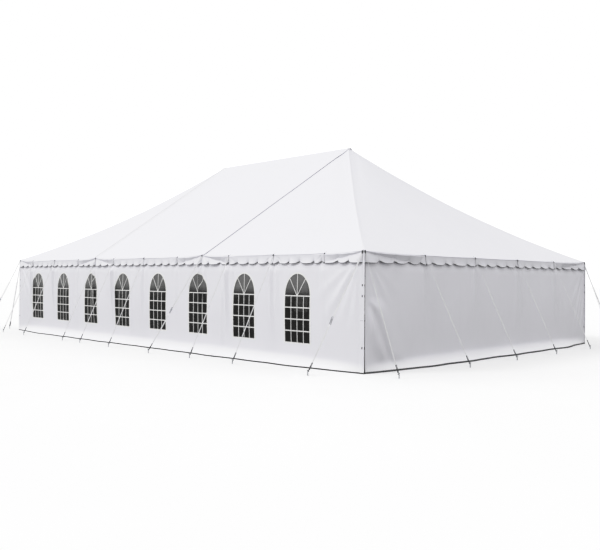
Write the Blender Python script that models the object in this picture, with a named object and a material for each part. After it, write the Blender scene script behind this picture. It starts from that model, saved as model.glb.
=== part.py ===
"""A white pole tent for parties, 30 ft by 45 ft, closed by sidewalls with arched windows.

The roof is three laced sections over two centre poles. It hangs from the peaks to the poles
round its eave, each held out by a strap to a ground stake. The ground is z = 0, the windowed
front faces -Y, and the origin is the middle of the floor. All sizes are in metres.
"""
import math

import bmesh
import bpy
from mathutils import Matrix, Vector

FOOT = 0.3048
TOUCH = 0.0003

# Plan and heights
LENGTH = 45 * FOOT
WIDTH = 30 * FOOT
EAVE = 2.13
EAVE_RAISE = 0.03
PEAK = 5.10
PEAK_FROM_END = 4.34
SEAM_FROM_END = 15 * FOOT

# How far the fabric sags below a straight line from the eave to the peak
HIP_SAG = 0.24
END_SAG = 0.13
MIDDLE_SAG = 0.03

# Fabric
ROOF_THICK = 0.008
EDGE_OUT = 0.016
SEAM_GAP = 0.0005
RISES = (0, 0.02, 0.14, 0.3, 0.48, 0.66, 0.84, 0.99)
WALL_THICK = 0.006
WALL_TOP = EAVE - ROOF_THICK - TOUCH
WALL_FROM_CORNER = 0.062
VALANCE_THICK = 0.006
VALANCE_DROP = 0.175
SCALLOP_DEPTH = 0.04
LONG_SIDE_SCALLOPS = 45
END_SCALLOPS = 22

# Windows of the long walls, in feet from the corner, and the joints between wall panels
WINDOW_FIRST = 5.27 * FOOT
WINDOW_PITCH = 5.07 * FOOT
WINDOW_COUNT = 8
WINDOW_WIDTH = 0.66
WINDOW_SILL = 0.44
WINDOW_SPRING = 1.33
WINDOW_TOP = 1.755
ARCH_STEPS = 6
PANEL_WINDOWS = (2, 4, 2)
VINYL_THICK = 0.002
VINYL_MARGIN = 0.06

# Poles round the eave, in feet from a corner or a seam
POLE_RADIUS = 0.025
PIN_RADIUS = 0.008
PIN_UP = 0.075
GROMMET_RADIUS = 0.012
SIDE_POLES = (3 * FOOT, 7.5 * FOOT, 12 * FOOT)
END_POLES = (6 * FOOT, 12 * FOOT, 18 * FOOT, 24 * FOOT)
FOOT_RADIUS = 0.042
FOOT_THICK = 0.012
ROPE_RADIUS = 0.005
ROPE_HEIGHT = 2.10
ROPE_CLEAR = 0.045

# Guys: a strap from the pole's pin to a hooked piece on a stake, which stands out from the wall and to
# one side of the pole; long ones have a ratchet half-way
GUY_OUT = 0.75
LONG_GUY_OUT = 0.85
CORNER_END_GUY_OUT = 0.77
SIDE_GUY_LEAN = 0.35
SEAM_GUY_LEAN = 0.80
CORNER_GUY_LEAN = 0.50
END_GUY_LEAN = -0.45
TAB_WIDTH = 0.046
TAB_THICK = 0.005
TAB_ABOVE = 0.004
CORNER_TABS_ABOVE = (0.006, 0.010)
TAB_IN = 0.03
TAB_OVERHANG = 0.03
STRAP_WIDTH = 0.030
STRAP_THICK = 0.004
RATCHET = (0.052, 0.032, 0.20)
RATCHET_UP = 0.37
HOOK = (0.036, 0.024, 0.13)
STAKE_RADIUS = 0.0127
STAKE_HEIGHT = 0.10
STAKE_HEAD = (0.021, 0.014)
HOOK_HEIGHT = 0.07

# Centre poles
CENTRE_RADIUS = 0.05
CENTRE_PIN_RADIUS = 0.016
CENTRE_PIN_UP = 0.045
PEAK_HOLE_RADIUS = 0.03
CENTRE_PLATE = (0.15, 0.012)

# Where a piece sits across a long wall: out is positive, the wall's outer face is 0
WALL_INNER = -WALL_THICK
VINYL_INNER = WALL_INNER - TOUCH - VINYL_THICK
SIDE_AXIS = VINYL_INNER - TOUCH - POLE_RADIUS
END_AXIS = WALL_INNER - TOUCH - POLE_RADIUS
CORNER_AXIS = EDGE_OUT - VALANCE_THICK - 0.001 - POLE_RADIUS
ROPE_AXIS = WALL_INNER - TOUCH - ROPE_RADIUS

# A side's own frame: x runs along it from its first corner, y points out, z up
HALF = Vector((LENGTH / 2, WIDTH / 2, 0))
SIDES = {
    "front": (Vector((HALF.x, -HALF.y, 0)), math.pi, LENGTH),
    "left": (Vector((-HALF.x, -HALF.y, 0)), math.pi / 2, WIDTH),
    "back": (Vector((-HALF.x, HALF.y, 0)), 0.0, LENGTH),
    "right": (Vector((HALF.x, HALF.y, 0)), -math.pi / 2, WIDTH),
}


def collection(name):
    group = bpy.data.collections.new(name)
    bpy.context.scene.collection.children.link(group)
    return group


def material(name, colour, roughness, metallic=0.0):
    made = bpy.data.materials.new(name)
    made.use_nodes = True
    shader = made.node_tree.nodes["Principled BSDF"]
    shader.inputs["Base Color"].default_value = (*colour, 1)
    shader.inputs["Roughness"].default_value = roughness
    shader.inputs["Metallic"].default_value = metallic
    return made


def frame(side, along=0.0):
    corner, turn, _ = SIDES[side]
    return Matrix.Translation(corner) @ Matrix.Rotation(turn, 4, "Z") @ Matrix.Translation((along, 0, 0))


def mesh_object(name, shape, group):
    mesh = bpy.data.meshes.new(name)
    shape.to_mesh(mesh)
    shape.free()
    made = bpy.data.objects.new(name, mesh)
    group.objects.link(made)
    return made


def cylinder(low, high, radius, sides=10):
    """A round bar from one point to another."""
    low, high = Vector(low), Vector(high)
    run = high - low
    place = Matrix.Translation((low + high) / 2) @ run.to_track_quat("Z", "Y").to_matrix().to_4x4()
    shape = bmesh.new()
    bmesh.ops.create_cone(shape, cap_ends=True, segments=sides, radius1=radius, radius2=radius,
                          depth=run.length, matrix=place)
    return mesh_object("piece", shape, cutters)


def bar(low, high, width, thick):
    """A flat bar from one point to another, its width as near to x as it can be."""
    low, high = Vector(low), Vector(high)
    run = high - low
    way = run.normalized()
    across = (Vector((1, 0, 0)) - way * way.x).normalized()
    turn = Matrix((across, way.cross(across), way)).transposed().to_4x4()
    size = Matrix.Diagonal((width, thick, run.length, 1))
    shape = bmesh.new()
    bmesh.ops.create_cube(shape, size=1, matrix=Matrix.Translation((low + high) / 2) @ turn @ size)
    bmesh.ops.recalc_face_normals(shape, faces=shape.faces)
    return mesh_object("piece", shape, cutters)


def fused(name, pieces, finish, place=Matrix.Identity(4)):
    """One solid from pieces that overlap each other."""
    first = pieces[0]
    for piece in pieces[1:]:
        union = first.modifiers.new("union", "BOOLEAN")
        union.operation = "UNION"
        union.object = piece
    evaluated = first.evaluated_get(bpy.context.evaluated_depsgraph_get())
    mesh = bpy.data.meshes.new_from_object(evaluated)
    for piece in pieces:
        bpy.data.objects.remove(piece)
    mesh.name = name
    mesh.materials.clear()
    mesh.materials.append(finish)
    made = bpy.data.objects.new(name, mesh)
    made.matrix_world = place
    parts.objects.link(made)
    return made


def flat_sheet(name, outlines, thick, finish, place):
    """A flat piece from closed outlines in its side's x and z: the first is the edge, the rest holes."""
    curve = bpy.data.curves.new(name, "CURVE")
    curve.dimensions = "2D"
    curve.fill_mode = "BOTH"
    curve.extrude = thick / 2
    curve.materials.append(finish)
    for outline in outlines:
        spline = curve.splines.new("POLY")
        spline.points.add(len(outline) - 1)
        for point, (x, z) in zip(spline.points, outline):
            point.co = (x, z, 0, 1)
        spline.use_cyclic_u = True
    made = bpy.data.objects.new(name, curve)
    made.matrix_world = place @ Matrix.Rotation(math.pi / 2, 4, "X")
    parts.objects.link(made)
    return made


# Roof surface

def eave_height(side, along):
    """The corner and seam poles stand a little higher than the poles between them."""
    if side in ("front", "back"):
        raised = (0, SEAM_FROM_END, LENGTH - SEAM_FROM_END, LENGTH)
        reach = SIDE_POLES[0]
    else:
        raised = (0, WIDTH)
        reach = END_POLES[0]
    nearest = min(abs(along - station) for station in raised)
    return EAVE + EAVE_RAISE * max(0.0, 1 - nearest / reach)


def eave_point(side, along):
    """The roof's edge stands just outside the wall, and meets the next side's edge at the corners."""
    length = SIDES[side][2]
    level = eave_height(side, along)
    if along < EDGE_OUT:
        along = -EDGE_OUT
    elif along > length - EDGE_OUT:
        along = length + EDGE_OUT
    return frame(side) @ Vector((along, EDGE_OUT, level))


def peak_point(side, along):
    """The peak or ridge point that the fabric runs up to from a place on the eave."""
    peak = HALF.x - PEAK_FROM_END
    seam = HALF.x - SEAM_FROM_END
    x = (frame(side) @ Vector((along, 0, 0))).x
    return Vector((max(-peak, min(peak, x * peak / seam)), 0, PEAK))


def sag(side, along):
    length = SIDES[side][2]
    from_corner = min(along, length - along)
    if side in ("left", "right"):
        return END_SAG + (HIP_SAG - END_SAG) * (1 - 2 * from_corner / WIDTH) ** 2
    if from_corner < SEAM_FROM_END:
        return HIP_SAG * (1 - from_corner / SEAM_FROM_END) ** 1.5
    middle = (LENGTH - 2 * SEAM_FROM_END) / 2
    return MIDDLE_SAG * (1 - ((LENGTH / 2 - from_corner) / middle) ** 2)


def roof_point(side, along, rise):
    low, high = eave_point(side, along), peak_point(side, along)
    drop = 4 * rise * (1 - rise) * sag(side, along)
    return low.lerp(high, rise) - Vector((0, 0, drop))


def roof_height(side, along, out):
    """Top of the fabric near the eave, at a distance out from the wall's face."""
    to_side = frame(side).inverted()
    low, high = (to_side @ roof_point(side, along, rise) for rise in RISES[:2])
    return low.z + (high.z - low.z) * (low.y - out) / (low.y - high.y)


def stations(first, last, poles):
    """Each pole of a stretch of eave and the places half-way between them."""
    marks = [first, *poles, last]
    halves = [(a + b) / 2 for a, b in zip(marks, marks[1:])]
    return sorted(marks + halves)


def section_stations(first):
    return stations(first, first + SEAM_FROM_END, [first + pole for pole in SIDE_POLES])


def roof_section(name, rows, holes):
    """Closed fabric of even depth over a grid of points, with round holes for the pins."""
    shape = bmesh.new()
    grid = [[shape.verts.new(point) for point in row] for row in rows]
    for lower, upper in zip(grid, grid[1:]):
        for a, b, c, d in zip(lower, lower[1:], upper[1:], upper):
            shape.faces.new((a, b, c, d))
    bmesh.ops.triangulate(shape, faces=shape.faces[:])
    under = bmesh.ops.extrude_face_region(shape, geom=shape.faces[:])["geom"]
    moved = [item for item in under if isinstance(item, bmesh.types.BMVert)]
    bmesh.ops.translate(shape, verts=moved, vec=(0, 0, -ROOF_THICK))
    bmesh.ops.recalc_face_normals(shape, faces=shape.faces)
    made = mesh_object(name, shape, parts)
    made.data.materials.append(roof_vinyl)

    drill = bmesh.new()
    for place, radius in holes:
        bmesh.ops.create_cone(drill, cap_ends=True, segments=8, radius1=radius, radius2=radius,
                              depth=0.4, matrix=Matrix.Translation(place))
    cutter = mesh_object(name + "_holes", drill, cutters)
    cutter.hide_render = True
    cutter.display_type = "WIRE"
    cut = made.modifiers.new("pin holes", "BOOLEAN")
    cut.operation = "DIFFERENCE"
    cut.object = cutter
    return made


def pin_hole(side, along, axis):
    spot = frame(side) @ Vector((along, axis, EAVE))
    return spot, GROMMET_RADIUS


def corner_hole(side):
    spot = frame(side) @ Vector((-CORNER_AXIS, CORNER_AXIS, EAVE))
    return spot, GROMMET_RADIUS


def roof_end(name, before, end, after, peak_x):
    """A hip end: its eave runs from one seam round two corners to the other seam."""
    columns = [(before, s) for s in section_stations(LENGTH - SEAM_FROM_END)]
    columns += [(end, s) for s in stations(0, WIDTH, END_POLES)[1:]]
    columns += [(after, s) for s in section_stations(0)[1:]]
    outward = Vector((math.copysign(SEAM_GAP / 2, peak_x), 0, 0))
    rows = [[roof_point(side, s, rise) + outward for side, s in columns] for rise in RISES]
    holes = [pin_hole(before, LENGTH - pole, SIDE_AXIS) for pole in (SEAM_FROM_END, *SIDE_POLES)]
    holes += [pin_hole(end, pole, END_AXIS) for pole in END_POLES]
    holes += [pin_hole(after, pole, SIDE_AXIS) for pole in (*SIDE_POLES, SEAM_FROM_END)]
    holes += [corner_hole(end), corner_hole(after)]
    holes += [(Vector((peak_x, 0, PEAK)), PEAK_HOLE_RADIUS)]
    return roof_section(name, rows, holes)


def roof_middle(name):
    """The middle section, from the front eave over the ridge to the back eave."""
    columns = section_stations(SEAM_FROM_END)
    inset = SEAM_GAP / 2 / (HALF.x - SEAM_FROM_END)
    front = [[roof_point("front", s, rise) for s in columns] for rise in (*RISES, 1)]
    back = [[roof_point("back", LENGTH - s, rise) for s in columns] for rise in RISES]
    rows = [[Vector((p.x * (1 - inset), p.y, p.z)) for p in row] for row in front + back[::-1]]
    holes = []
    for side in ("front", "back"):
        for pole in (0, *SIDE_POLES, SEAM_FROM_END):
            holes.append(pin_hole(side, SEAM_FROM_END + pole, SIDE_AXIS))
    peak = HALF.x - PEAK_FROM_END
    holes += [(Vector((x, 0, PEAK)), PEAK_HOLE_RADIUS) for x in (peak, -peak)]
    return roof_section(name, rows, holes)


# Valance and walls

def valance(side):
    """A strip under the roof's edge, its lower edge cut in wide scallops with sharp notches."""
    length = SIDES[side][2]
    long_side = side in ("front", "back")
    overrun = EDGE_OUT if long_side else EDGE_OUT - VALANCE_THICK - TOUCH
    poles = stations(0, length, END_POLES)
    if long_side:
        poles = sorted({s for n in range(3) for s in section_stations(n * SEAM_FROM_END)})
    hang = ROOF_THICK + TOUCH
    tops = [(s, eave_height(side, s) - hang) for s in poles[1:-1]]
    tops = [(-overrun, eave_height(side, 0) - hang), *tops, (length + overrun, eave_height(side, 0) - hang)]
    count = LONG_SIDE_SCALLOPS if long_side else END_SCALLOPS
    pitch = (length + 2 * overrun) / count
    level = EAVE - hang - VALANCE_DROP
    edge = []
    for lobe in range(count):
        for part, depth in ((0, 0), (0.15, 0.7), (0.5, 1), (0.85, 0.7)):
            s = -overrun + (lobe + part) * pitch
            edge.append((s, level + SCALLOP_DEPTH * (1 - depth)))
    edge.append((length + overrun, edge[0][1]))
    place = frame(side) @ Matrix.Translation((0, EDGE_OUT - VALANCE_THICK / 2, 0))
    return flat_sheet("valance_" + side, [edge + tops[::-1]], VALANCE_THICK, roof_vinyl, place)


def arch(centre):
    """A window's outline: straight sides and a tall round head."""
    half = WINDOW_WIDTH / 2
    rise = WINDOW_TOP - WINDOW_SPRING
    right = []
    for step in range(ARCH_STEPS):
        angle = math.pi / 2 * step / ARCH_STEPS
        right.append((half * math.cos(angle), WINDOW_SPRING + rise * math.sin(angle)))
    left = [(-x, z) for x, z in reversed(right)]
    outline = [(-half, WINDOW_SILL), (half, WINDOW_SILL), *right, (0, WINDOW_TOP), *left]
    return [(centre + x, z) for x, z in outline]


def oblong(left, right, low, high):
    return [(left, low), (right, low), (right, high), (left, high)]


def wall(name, side, first, last, windows):
    outlines = [oblong(first, last, 0, WALL_TOP)] + [arch(centre) for centre in windows]
    place = frame(side) @ Matrix.Translation((0, -WALL_THICK / 2, 0))
    flat_sheet("wall_" + name, outlines, WALL_THICK, wall_vinyl, place)
    if windows:
        reach = WINDOW_WIDTH / 2 + VINYL_MARGIN
        pane = oblong(windows[0] - reach, windows[-1] + reach,
                      WINDOW_SILL - VINYL_MARGIN, WINDOW_TOP + VINYL_MARGIN)
        place = frame(side) @ Matrix.Translation((0, VINYL_INNER + VINYL_THICK / 2, 0))
        flat_sheet("window_" + name, [pane], VINYL_THICK, clear_vinyl, place)


def long_walls(side, names):
    """Three panels with the windows of a long side, joined midway between two windows."""
    centres = [WINDOW_FIRST + n * WINDOW_PITCH for n in range(WINDOW_COUNT)]
    first = WALL_FROM_CORNER
    done = 0
    for name, count in zip(names, PANEL_WINDOWS):
        windows = centres[done:done + count]
        done += count
        last = windows[-1] + WINDOW_PITCH / 2 if done < WINDOW_COUNT else LENGTH - WALL_FROM_CORNER
        wall(side + "_" + name, side, first, last - SEAM_GAP, windows)
        first = last


# Poles and guys

def pole_top(side, along, axis):
    """The fabric rests on the outer rim of the pole's top."""
    return roof_height(side, along, axis + POLE_RADIUS) - ROOF_THICK - TOUCH


def guy(side, along, axis, reach, lean, turn=0.0, above=TAB_ABOVE):
    """Tab over the eave, strap, hooked piece and stake of one guy, about the pole's own axis."""
    lift = above + TAB_THICK / 2

    def tab_point(out):
        return Vector((0, out - axis, roof_height(side, along, out) + lift))

    inner, outer = tab_point(axis - TAB_IN), tab_point(EDGE_OUT + TAB_OVERHANG)
    hook = Vector((lean, reach - axis, HOOK_HEIGHT))
    up = (outer - hook).normalized()
    stake = reach - axis
    head_radius, head_thick = STAKE_HEAD
    pieces = [
        bar(inner, outer + (outer - inner).normalized() * 0.004, TAB_WIDTH, TAB_THICK),
        bar(outer, hook + up * HOOK[2] / 2, STRAP_WIDTH, STRAP_THICK),
        bar(hook + up * HOOK[2], hook, *HOOK[:2]),
        cylinder((lean, stake, 0), (lean, stake, STAKE_HEIGHT), STAKE_RADIUS, 8),
        cylinder((lean, stake, STAKE_HEIGHT - head_thick), (lean, stake, STAKE_HEIGHT + 0.002),
                 head_radius, 8),
    ]
    if reach == LONG_GUY_OUT:
        low = hook + up * (outer - hook).length * RATCHET_UP
        pieces.append(bar(low + up * RATCHET[2], low, *RATCHET[:2]))
    for piece in pieces:
        piece.data.transform(Matrix.Rotation(turn, 4, "Z"))
    return pieces


def pole(side, along, axis, low=0.0):
    top = pole_top(side, along, axis)
    return [cylinder((0, 0, low), (0, 0, top), POLE_RADIUS),
            cylinder((0, 0, top - 0.02), (0, 0, top + PIN_UP), PIN_RADIUS, 6)]


def shifted(pieces, along):
    for piece in pieces:
        piece.data.transform(Matrix.Translation((along, 0, 0)))
    return pieces


def corner_pole(name, side, here, before):
    """A corner pole has a guy out from each of the two walls, and a round foot.

    The eave falls away faster along a long side, so its height there sets the pole's.
    """
    along = EDGE_OUT - CORNER_AXIS
    pieces = pole("front", along, CORNER_AXIS, FOOT_THICK / 2)
    pieces += [cylinder((0, 0, 0), (0, 0, FOOT_THICK), FOOT_RADIUS)]
    lower, upper = CORNER_TABS_ABOVE
    for reach, turn, above in ((here, 0.0, lower), (before, math.pi / 2, upper)):
        lean = CORNER_GUY_LEAN if reach == LONG_GUY_OUT else 0.0
        pieces += guy("front", along, CORNER_AXIS, reach, lean, turn, above)
    place = frame(side) @ Matrix.Translation((-CORNER_AXIS, CORNER_AXIS, 0))
    fused("corner_pole_" + name, pieces, steel, place)


def seam_pole(name, side, along):
    pieces = pole(side, along, SIDE_AXIS) + guy(side, along, SIDE_AXIS, LONG_GUY_OUT, SEAM_GUY_LEAN)
    fused("seam_pole_" + name, pieces, steel, frame(side, along) @ Matrix.Translation((0, SIDE_AXIS, 0)))


def rope(start, end, axis):
    """The rope that the sidewall hangs from."""
    out = ROPE_AXIS - axis
    return cylinder((start, out, ROPE_HEIGHT), (end, out, ROPE_HEIGHT), ROPE_RADIUS, 6)


def side_poles(name, side, first):
    """The poles of a long side between a corner or seam and the next, joined by their rope.

    The first has no guy, as the one of the corner or seam is near.
    """
    pieces = []
    for along in SIDE_POLES:
        station = first + along
        pieces += shifted(pole(side, station, SIDE_AXIS), along)
        if along > SIDE_POLES[0]:
            pieces += shifted(guy(side, station, SIDE_AXIS, GUY_OUT, SIDE_GUY_LEAN), along)
    pieces.append(rope(ROPE_CLEAR, SEAM_FROM_END - ROPE_CLEAR, SIDE_AXIS))
    fused(name, pieces, steel, frame(side, first) @ Matrix.Translation((0, SIDE_AXIS, 0)))


def end_pole(name, side, number):
    """A pole of an end wall, with the rope of the bay after it, and of the first bay too."""
    along = END_POLES[number]
    pieces = pole(side, along, END_AXIS) + guy(side, along, END_AXIS, GUY_OUT, END_GUY_LEAN)
    before = ROPE_CLEAR - along if number == 0 else 0
    after = [*END_POLES, WIDTH][number + 1] - along - ROPE_CLEAR
    pieces.append(rope(before, after, END_AXIS))
    fused(name, pieces, steel, frame(side, along) @ Matrix.Translation((0, END_AXIS, 0)))


def centre_pole(name, x):
    """Round pole with a base plate, under the peak, and a pin through the peak's ring."""
    rise = 1 - CENTRE_RADIUS / PEAK_FROM_END
    side = "right" if x > 0 else "left"
    low, high = (roof_point(side, WIDTH / 2, part) for part in RISES[-2:])
    share = (rise - RISES[-2]) / (RISES[-1] - RISES[-2])
    top = low.lerp(high, share).z - ROOF_THICK - TOUCH
    plate_radius, plate_thick = CENTRE_PLATE
    pieces = [
        cylinder((0, 0, plate_thick / 2), (0, 0, top), CENTRE_RADIUS, 20),
        cylinder((0, 0, 0), (0, 0, plate_thick), plate_radius, 24),
        cylinder((0, 0, top - 0.05), (0, 0, PEAK + CENTRE_PIN_UP), CENTRE_PIN_RADIUS, 12),
    ]
    fused(name, pieces, steel, Matrix.Translation((x, 0, 0)))


for item in list(bpy.data.objects):
    bpy.data.objects.remove(item)
parts = collection("marquee_tent")
cutters = collection("cutters")

roof_vinyl = material("roof_vinyl", (0.88, 0.88, 0.90), 0.45)
wall_vinyl = material("wall_vinyl", (0.80, 0.80, 0.82), 0.5)
clear_vinyl = material("clear_vinyl", (0.05, 0.05, 0.05), 0.12)
steel = material("galvanised_steel", (0.42, 0.43, 0.44), 0.4, 0.9)

peak_x = HALF.x - PEAK_FROM_END
roof_end("roof_right_end", "back", "right", "front", peak_x)
roof_middle("roof_middle")
roof_end("roof_left_end", "front", "left", "back", -peak_x)
for side in SIDES:
    valance(side)

long_walls("front", ("right", "middle", "left"))
long_walls("back", ("left", "middle", "right"))
for side in ("right", "left"):
    wall(side + "_end", side, WALL_FROM_CORNER, WIDTH - WALL_FROM_CORNER, [])

centre_pole("centre_pole_right", peak_x)
centre_pole("centre_pole_left", -peak_x)
corner_pole("front_right", "front", LONG_GUY_OUT, CORNER_END_GUY_OUT)
corner_pole("front_left", "left", CORNER_END_GUY_OUT, LONG_GUY_OUT)
corner_pole("back_left", "back", LONG_GUY_OUT, CORNER_END_GUY_OUT)
corner_pole("back_right", "right", CORNER_END_GUY_OUT, LONG_GUY_OUT)

for side, names in (("front", ("right", "middle", "left")), ("back", ("left", "middle", "right"))):
    for number, name in enumerate(names):
        side_poles("side_poles_%s_%s" % (side, name), side, number * SEAM_FROM_END)
    seam_pole("%s_%s" % (side, names[0]), side, SEAM_FROM_END)
    seam_pole("%s_%s" % (side, names[2]), side, LENGTH - SEAM_FROM_END)
for side in ("right", "left"):
    for number in range(len(END_POLES)):
        end_pole("end_pole_%s_%d" % (side, number + 1), side, number)
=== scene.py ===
import math

import bmesh
import bpy
from mathutils import Matrix, Vector, noise


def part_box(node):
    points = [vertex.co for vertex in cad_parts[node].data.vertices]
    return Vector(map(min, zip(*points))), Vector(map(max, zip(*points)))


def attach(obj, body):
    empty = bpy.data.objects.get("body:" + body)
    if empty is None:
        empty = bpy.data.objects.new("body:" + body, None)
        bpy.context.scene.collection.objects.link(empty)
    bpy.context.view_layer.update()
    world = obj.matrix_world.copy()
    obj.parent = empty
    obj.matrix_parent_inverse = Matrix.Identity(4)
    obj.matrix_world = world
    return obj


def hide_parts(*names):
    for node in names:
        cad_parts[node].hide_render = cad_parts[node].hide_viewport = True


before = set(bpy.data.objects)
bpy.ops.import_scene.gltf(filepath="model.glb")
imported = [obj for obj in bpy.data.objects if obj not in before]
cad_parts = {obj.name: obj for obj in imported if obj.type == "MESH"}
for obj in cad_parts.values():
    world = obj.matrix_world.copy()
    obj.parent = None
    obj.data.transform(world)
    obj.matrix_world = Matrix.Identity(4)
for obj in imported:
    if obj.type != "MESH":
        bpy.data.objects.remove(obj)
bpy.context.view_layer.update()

FOOT = 0.3048

# Roof sections: white coated polyester, welded from strips. The middle one hangs from the ridge to
# both long sides, and each end one from its peak to three sides. They sag a little below straight
# lines, have a webbing under each hip, and gather in small pleats at the pins of the eave.
half_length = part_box("wall_right_end")[1].x
half_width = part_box("wall_back_middle")[1].y
LENGTH, WIDTH = 2 * half_length, 2 * half_width
EAVE = 2.13
EAVE_RAISE = 0.03
PEAK = 5.10
PEAK_FROM_END = 4.34
SEAM_FROM_END = 15 * FOOT
EDGE_OUT = 0.016
HIP_SAG, END_SAG, MIDDLE_SAG = 0.24, 0.13, 0.03
SIDE_POLES = (3 * FOOT, 7.5 * FOOT, 12 * FOOT)
END_POLES = (6 * FOOT, 12 * FOOT, 18 * FOOT, 24 * FOOT)
CLOTH_THICK = 0.0009
CLOTH_STEP = 0.045
EAVE_DROOP = 0.007
HIP_CORD, HIP_CORD_WIDTH = 0.010, 0.035
HIP_SLANT, HIP_RISES = 0.7, (0.02, 0.25)
HIP_SLACK, HIP_SLACK_FROM, HIP_SLACK_WIDTH, HIP_SLACK_RISES = 0.012, 0.17, 0.11, (0.35, 0.85)
PLEAT, PLEATS, PLEAT_FROM, PLEAT_WIDTH, PLEAT_REACH = 0.0035, 7, 0.10, 0.13, 0.6
SWAY, SWAY_SIZE, SWAY_FROM_EAVE, SWAY_TO_PEAK = 0.005, 0.9, (0.0, 0.6), (1.0, 0.9)
PEAK_RING = 0.988
ROOF_HEM_RADIUS, ROOF_HEM_DROP = 0.004, 0.003
SECTION_GAP = 0.002
STRIP_WIDTH = 1.52
WELD_TINT = (0.45, 0.45, 0.47)

# A side's own measures run along its wall from its first corner, out from the wall's face, and up.
PLACES = {
    "front": Matrix.Translation((half_length, -half_width, 0)) @ Matrix.Rotation(math.pi, 4, "Z"),
    "left": Matrix.Translation((-half_length, -half_width, 0)) @ Matrix.Rotation(math.pi / 2, 4, "Z"),
    "back": Matrix.Translation((-half_length, half_width, 0)),
    "right": Matrix.Translation((half_length, half_width, 0)) @ Matrix.Rotation(-math.pi / 2, 4, "Z"),
}
ENDS = ("left", "right")


def by_side(long, end):
    """One value for both long sides, and one for both ends."""
    return {"front": long, "left": end, "back": long, "right": end}


LENGTHS = by_side(LENGTH, WIDTH)
PINS = by_side([n * SEAM_FROM_END + pole for n in range(3) for pole in (0, *SIDE_POLES)] + [LENGTH],
               [0, *END_POLES, WIDTH])
STRUCTURAL = by_side((0, SEAM_FROM_END, LENGTH - SEAM_FROM_END, LENGTH), (0, WIDTH))


def node(tree, kind, inputs=(), **settings):
    """A shader node with its settings, and its inputs as values or as other nodes' outputs."""
    made = tree.nodes.new("ShaderNode" + kind)
    for key, value in settings.items():
        setattr(made, key, value)
    for key, value in dict(inputs).items():
        if isinstance(value, bpy.types.NodeSocket):
            tree.links.new(value, made.inputs[key])
        else:
            made.inputs[key].default_value = value
    return made


def effect(name, inputs, outputs):
    """An empty shader node group with named sockets, for an effect that several finishes share."""
    group = bpy.data.node_groups.new(name, "ShaderNodeTree")
    for label, kind, value in inputs:
        socket = group.interface.new_socket(label, in_out="INPUT", socket_type="NodeSocket" + kind)
        if value is not None:
            socket.default_value = value
    for label, kind in outputs:
        group.interface.new_socket(label, in_out="OUTPUT", socket_type="NodeSocket" + kind)
    return group, group.nodes.new("NodeGroupInput").outputs, group.nodes.new("NodeGroupOutput").inputs


def use(tree, group, **inputs):
    """A shared effect placed in a finish with its own values."""
    made = tree.nodes.new("ShaderNodeGroup")
    made.node_tree = group
    for key, value in inputs.items():
        socket = made.inputs[key.replace("_", " ").capitalize()]
        if isinstance(value, bpy.types.NodeSocket):
            tree.links.new(value, socket)
        else:
            socket.default_value = value
    return made.outputs


def maths(tree, operation, *values):
    """One step of arithmetic between numbers or other nodes' outputs."""
    return node(tree, "Math", dict(enumerate(values)), operation=operation).outputs[0]


def position(tree):
    """The place of each point of the surface, in metres."""
    return node(tree, "NewGeometry").outputs["Position"]


def blend(tree, share, first, second):
    """A colour between two colours."""
    first, second = ((*each, 1) if isinstance(each, tuple) else each for each in (first, second))
    return node(tree, "Mix", {0: share, 6: first, 7: second}, data_type="RGBA").outputs[2]


def finish(name, roughness, metallic=0.0, specular=0.5):
    """A new material with its own shader; the rest of its nodes follow where it is made."""
    made = bpy.data.materials.new(name)
    made.use_nodes = True
    shader = made.node_tree.nodes["Principled BSDF"]
    shader.inputs["Roughness"].default_value = roughness
    shader.inputs["Metallic"].default_value = metallic
    shader.inputs["Specular IOR Level"].default_value = specular
    return made, made.node_tree, shader


def relief(tree, shader, height, distance, strength=1.0):
    """Fine height of a surface, in metres, given to its shader."""
    bump = node(tree, "Bump", {"Height": height, "Distance": distance, "Strength": strength})
    tree.links.new(bump.outputs["Normal"], shader.inputs["Normal"])


# Threads of a woven base cloth that show through its coating
weave, given, put = effect(
    "woven threads",
    [("Flat", "Vector", None), ("Threads", "Float", 200.0)], [("Height", "Float")])
warp, weft = (node(weave, "TexWave", {"Vector": given["Flat"], "Scale": given["Threads"]},
                   bands_direction=way).outputs["Color"] for way in "XY")
weave.links.new(maths(weave, "MULTIPLY", warp, weft), put["Height"])

# Soft clouds of tone left by handling, folding and rain
clouds, given, put = effect(
    "handling clouds",
    [("Place", "Vector", None), ("Scale", "Float", 1.0), ("Low", "Float", 0.4), ("High", "Float", 0.7)],
    [("Mask", "Float")])
cloud = node(clouds, "TexNoise", {"Vector": given["Place"], "Scale": given["Scale"], "Detail": 4.0})
ranged = node(clouds, "MapRange", {
    "Value": cloud.outputs[0], "From Min": given["Low"], "From Max": given["High"]})
clouds.links.new(ranged.outputs[0], put["Mask"])

# Welded overlaps between the strips that a cloth is made from
welds, given, put = effect(
    "strip welds",
    [("Flat", "Vector", None), ("Pitch", "Float", 1.52), ("Width", "Float", 0.025)], [("Mask", "Float")])
run = node(welds, "SeparateXYZ", {"Vector": given["Flat"]})
folded = maths(welds, "PINGPONG", run.outputs["X"], given["Pitch"])
welds.links.new(maths(welds, "LESS_THAN", folded, given["Width"]), put["Mask"])


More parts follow.
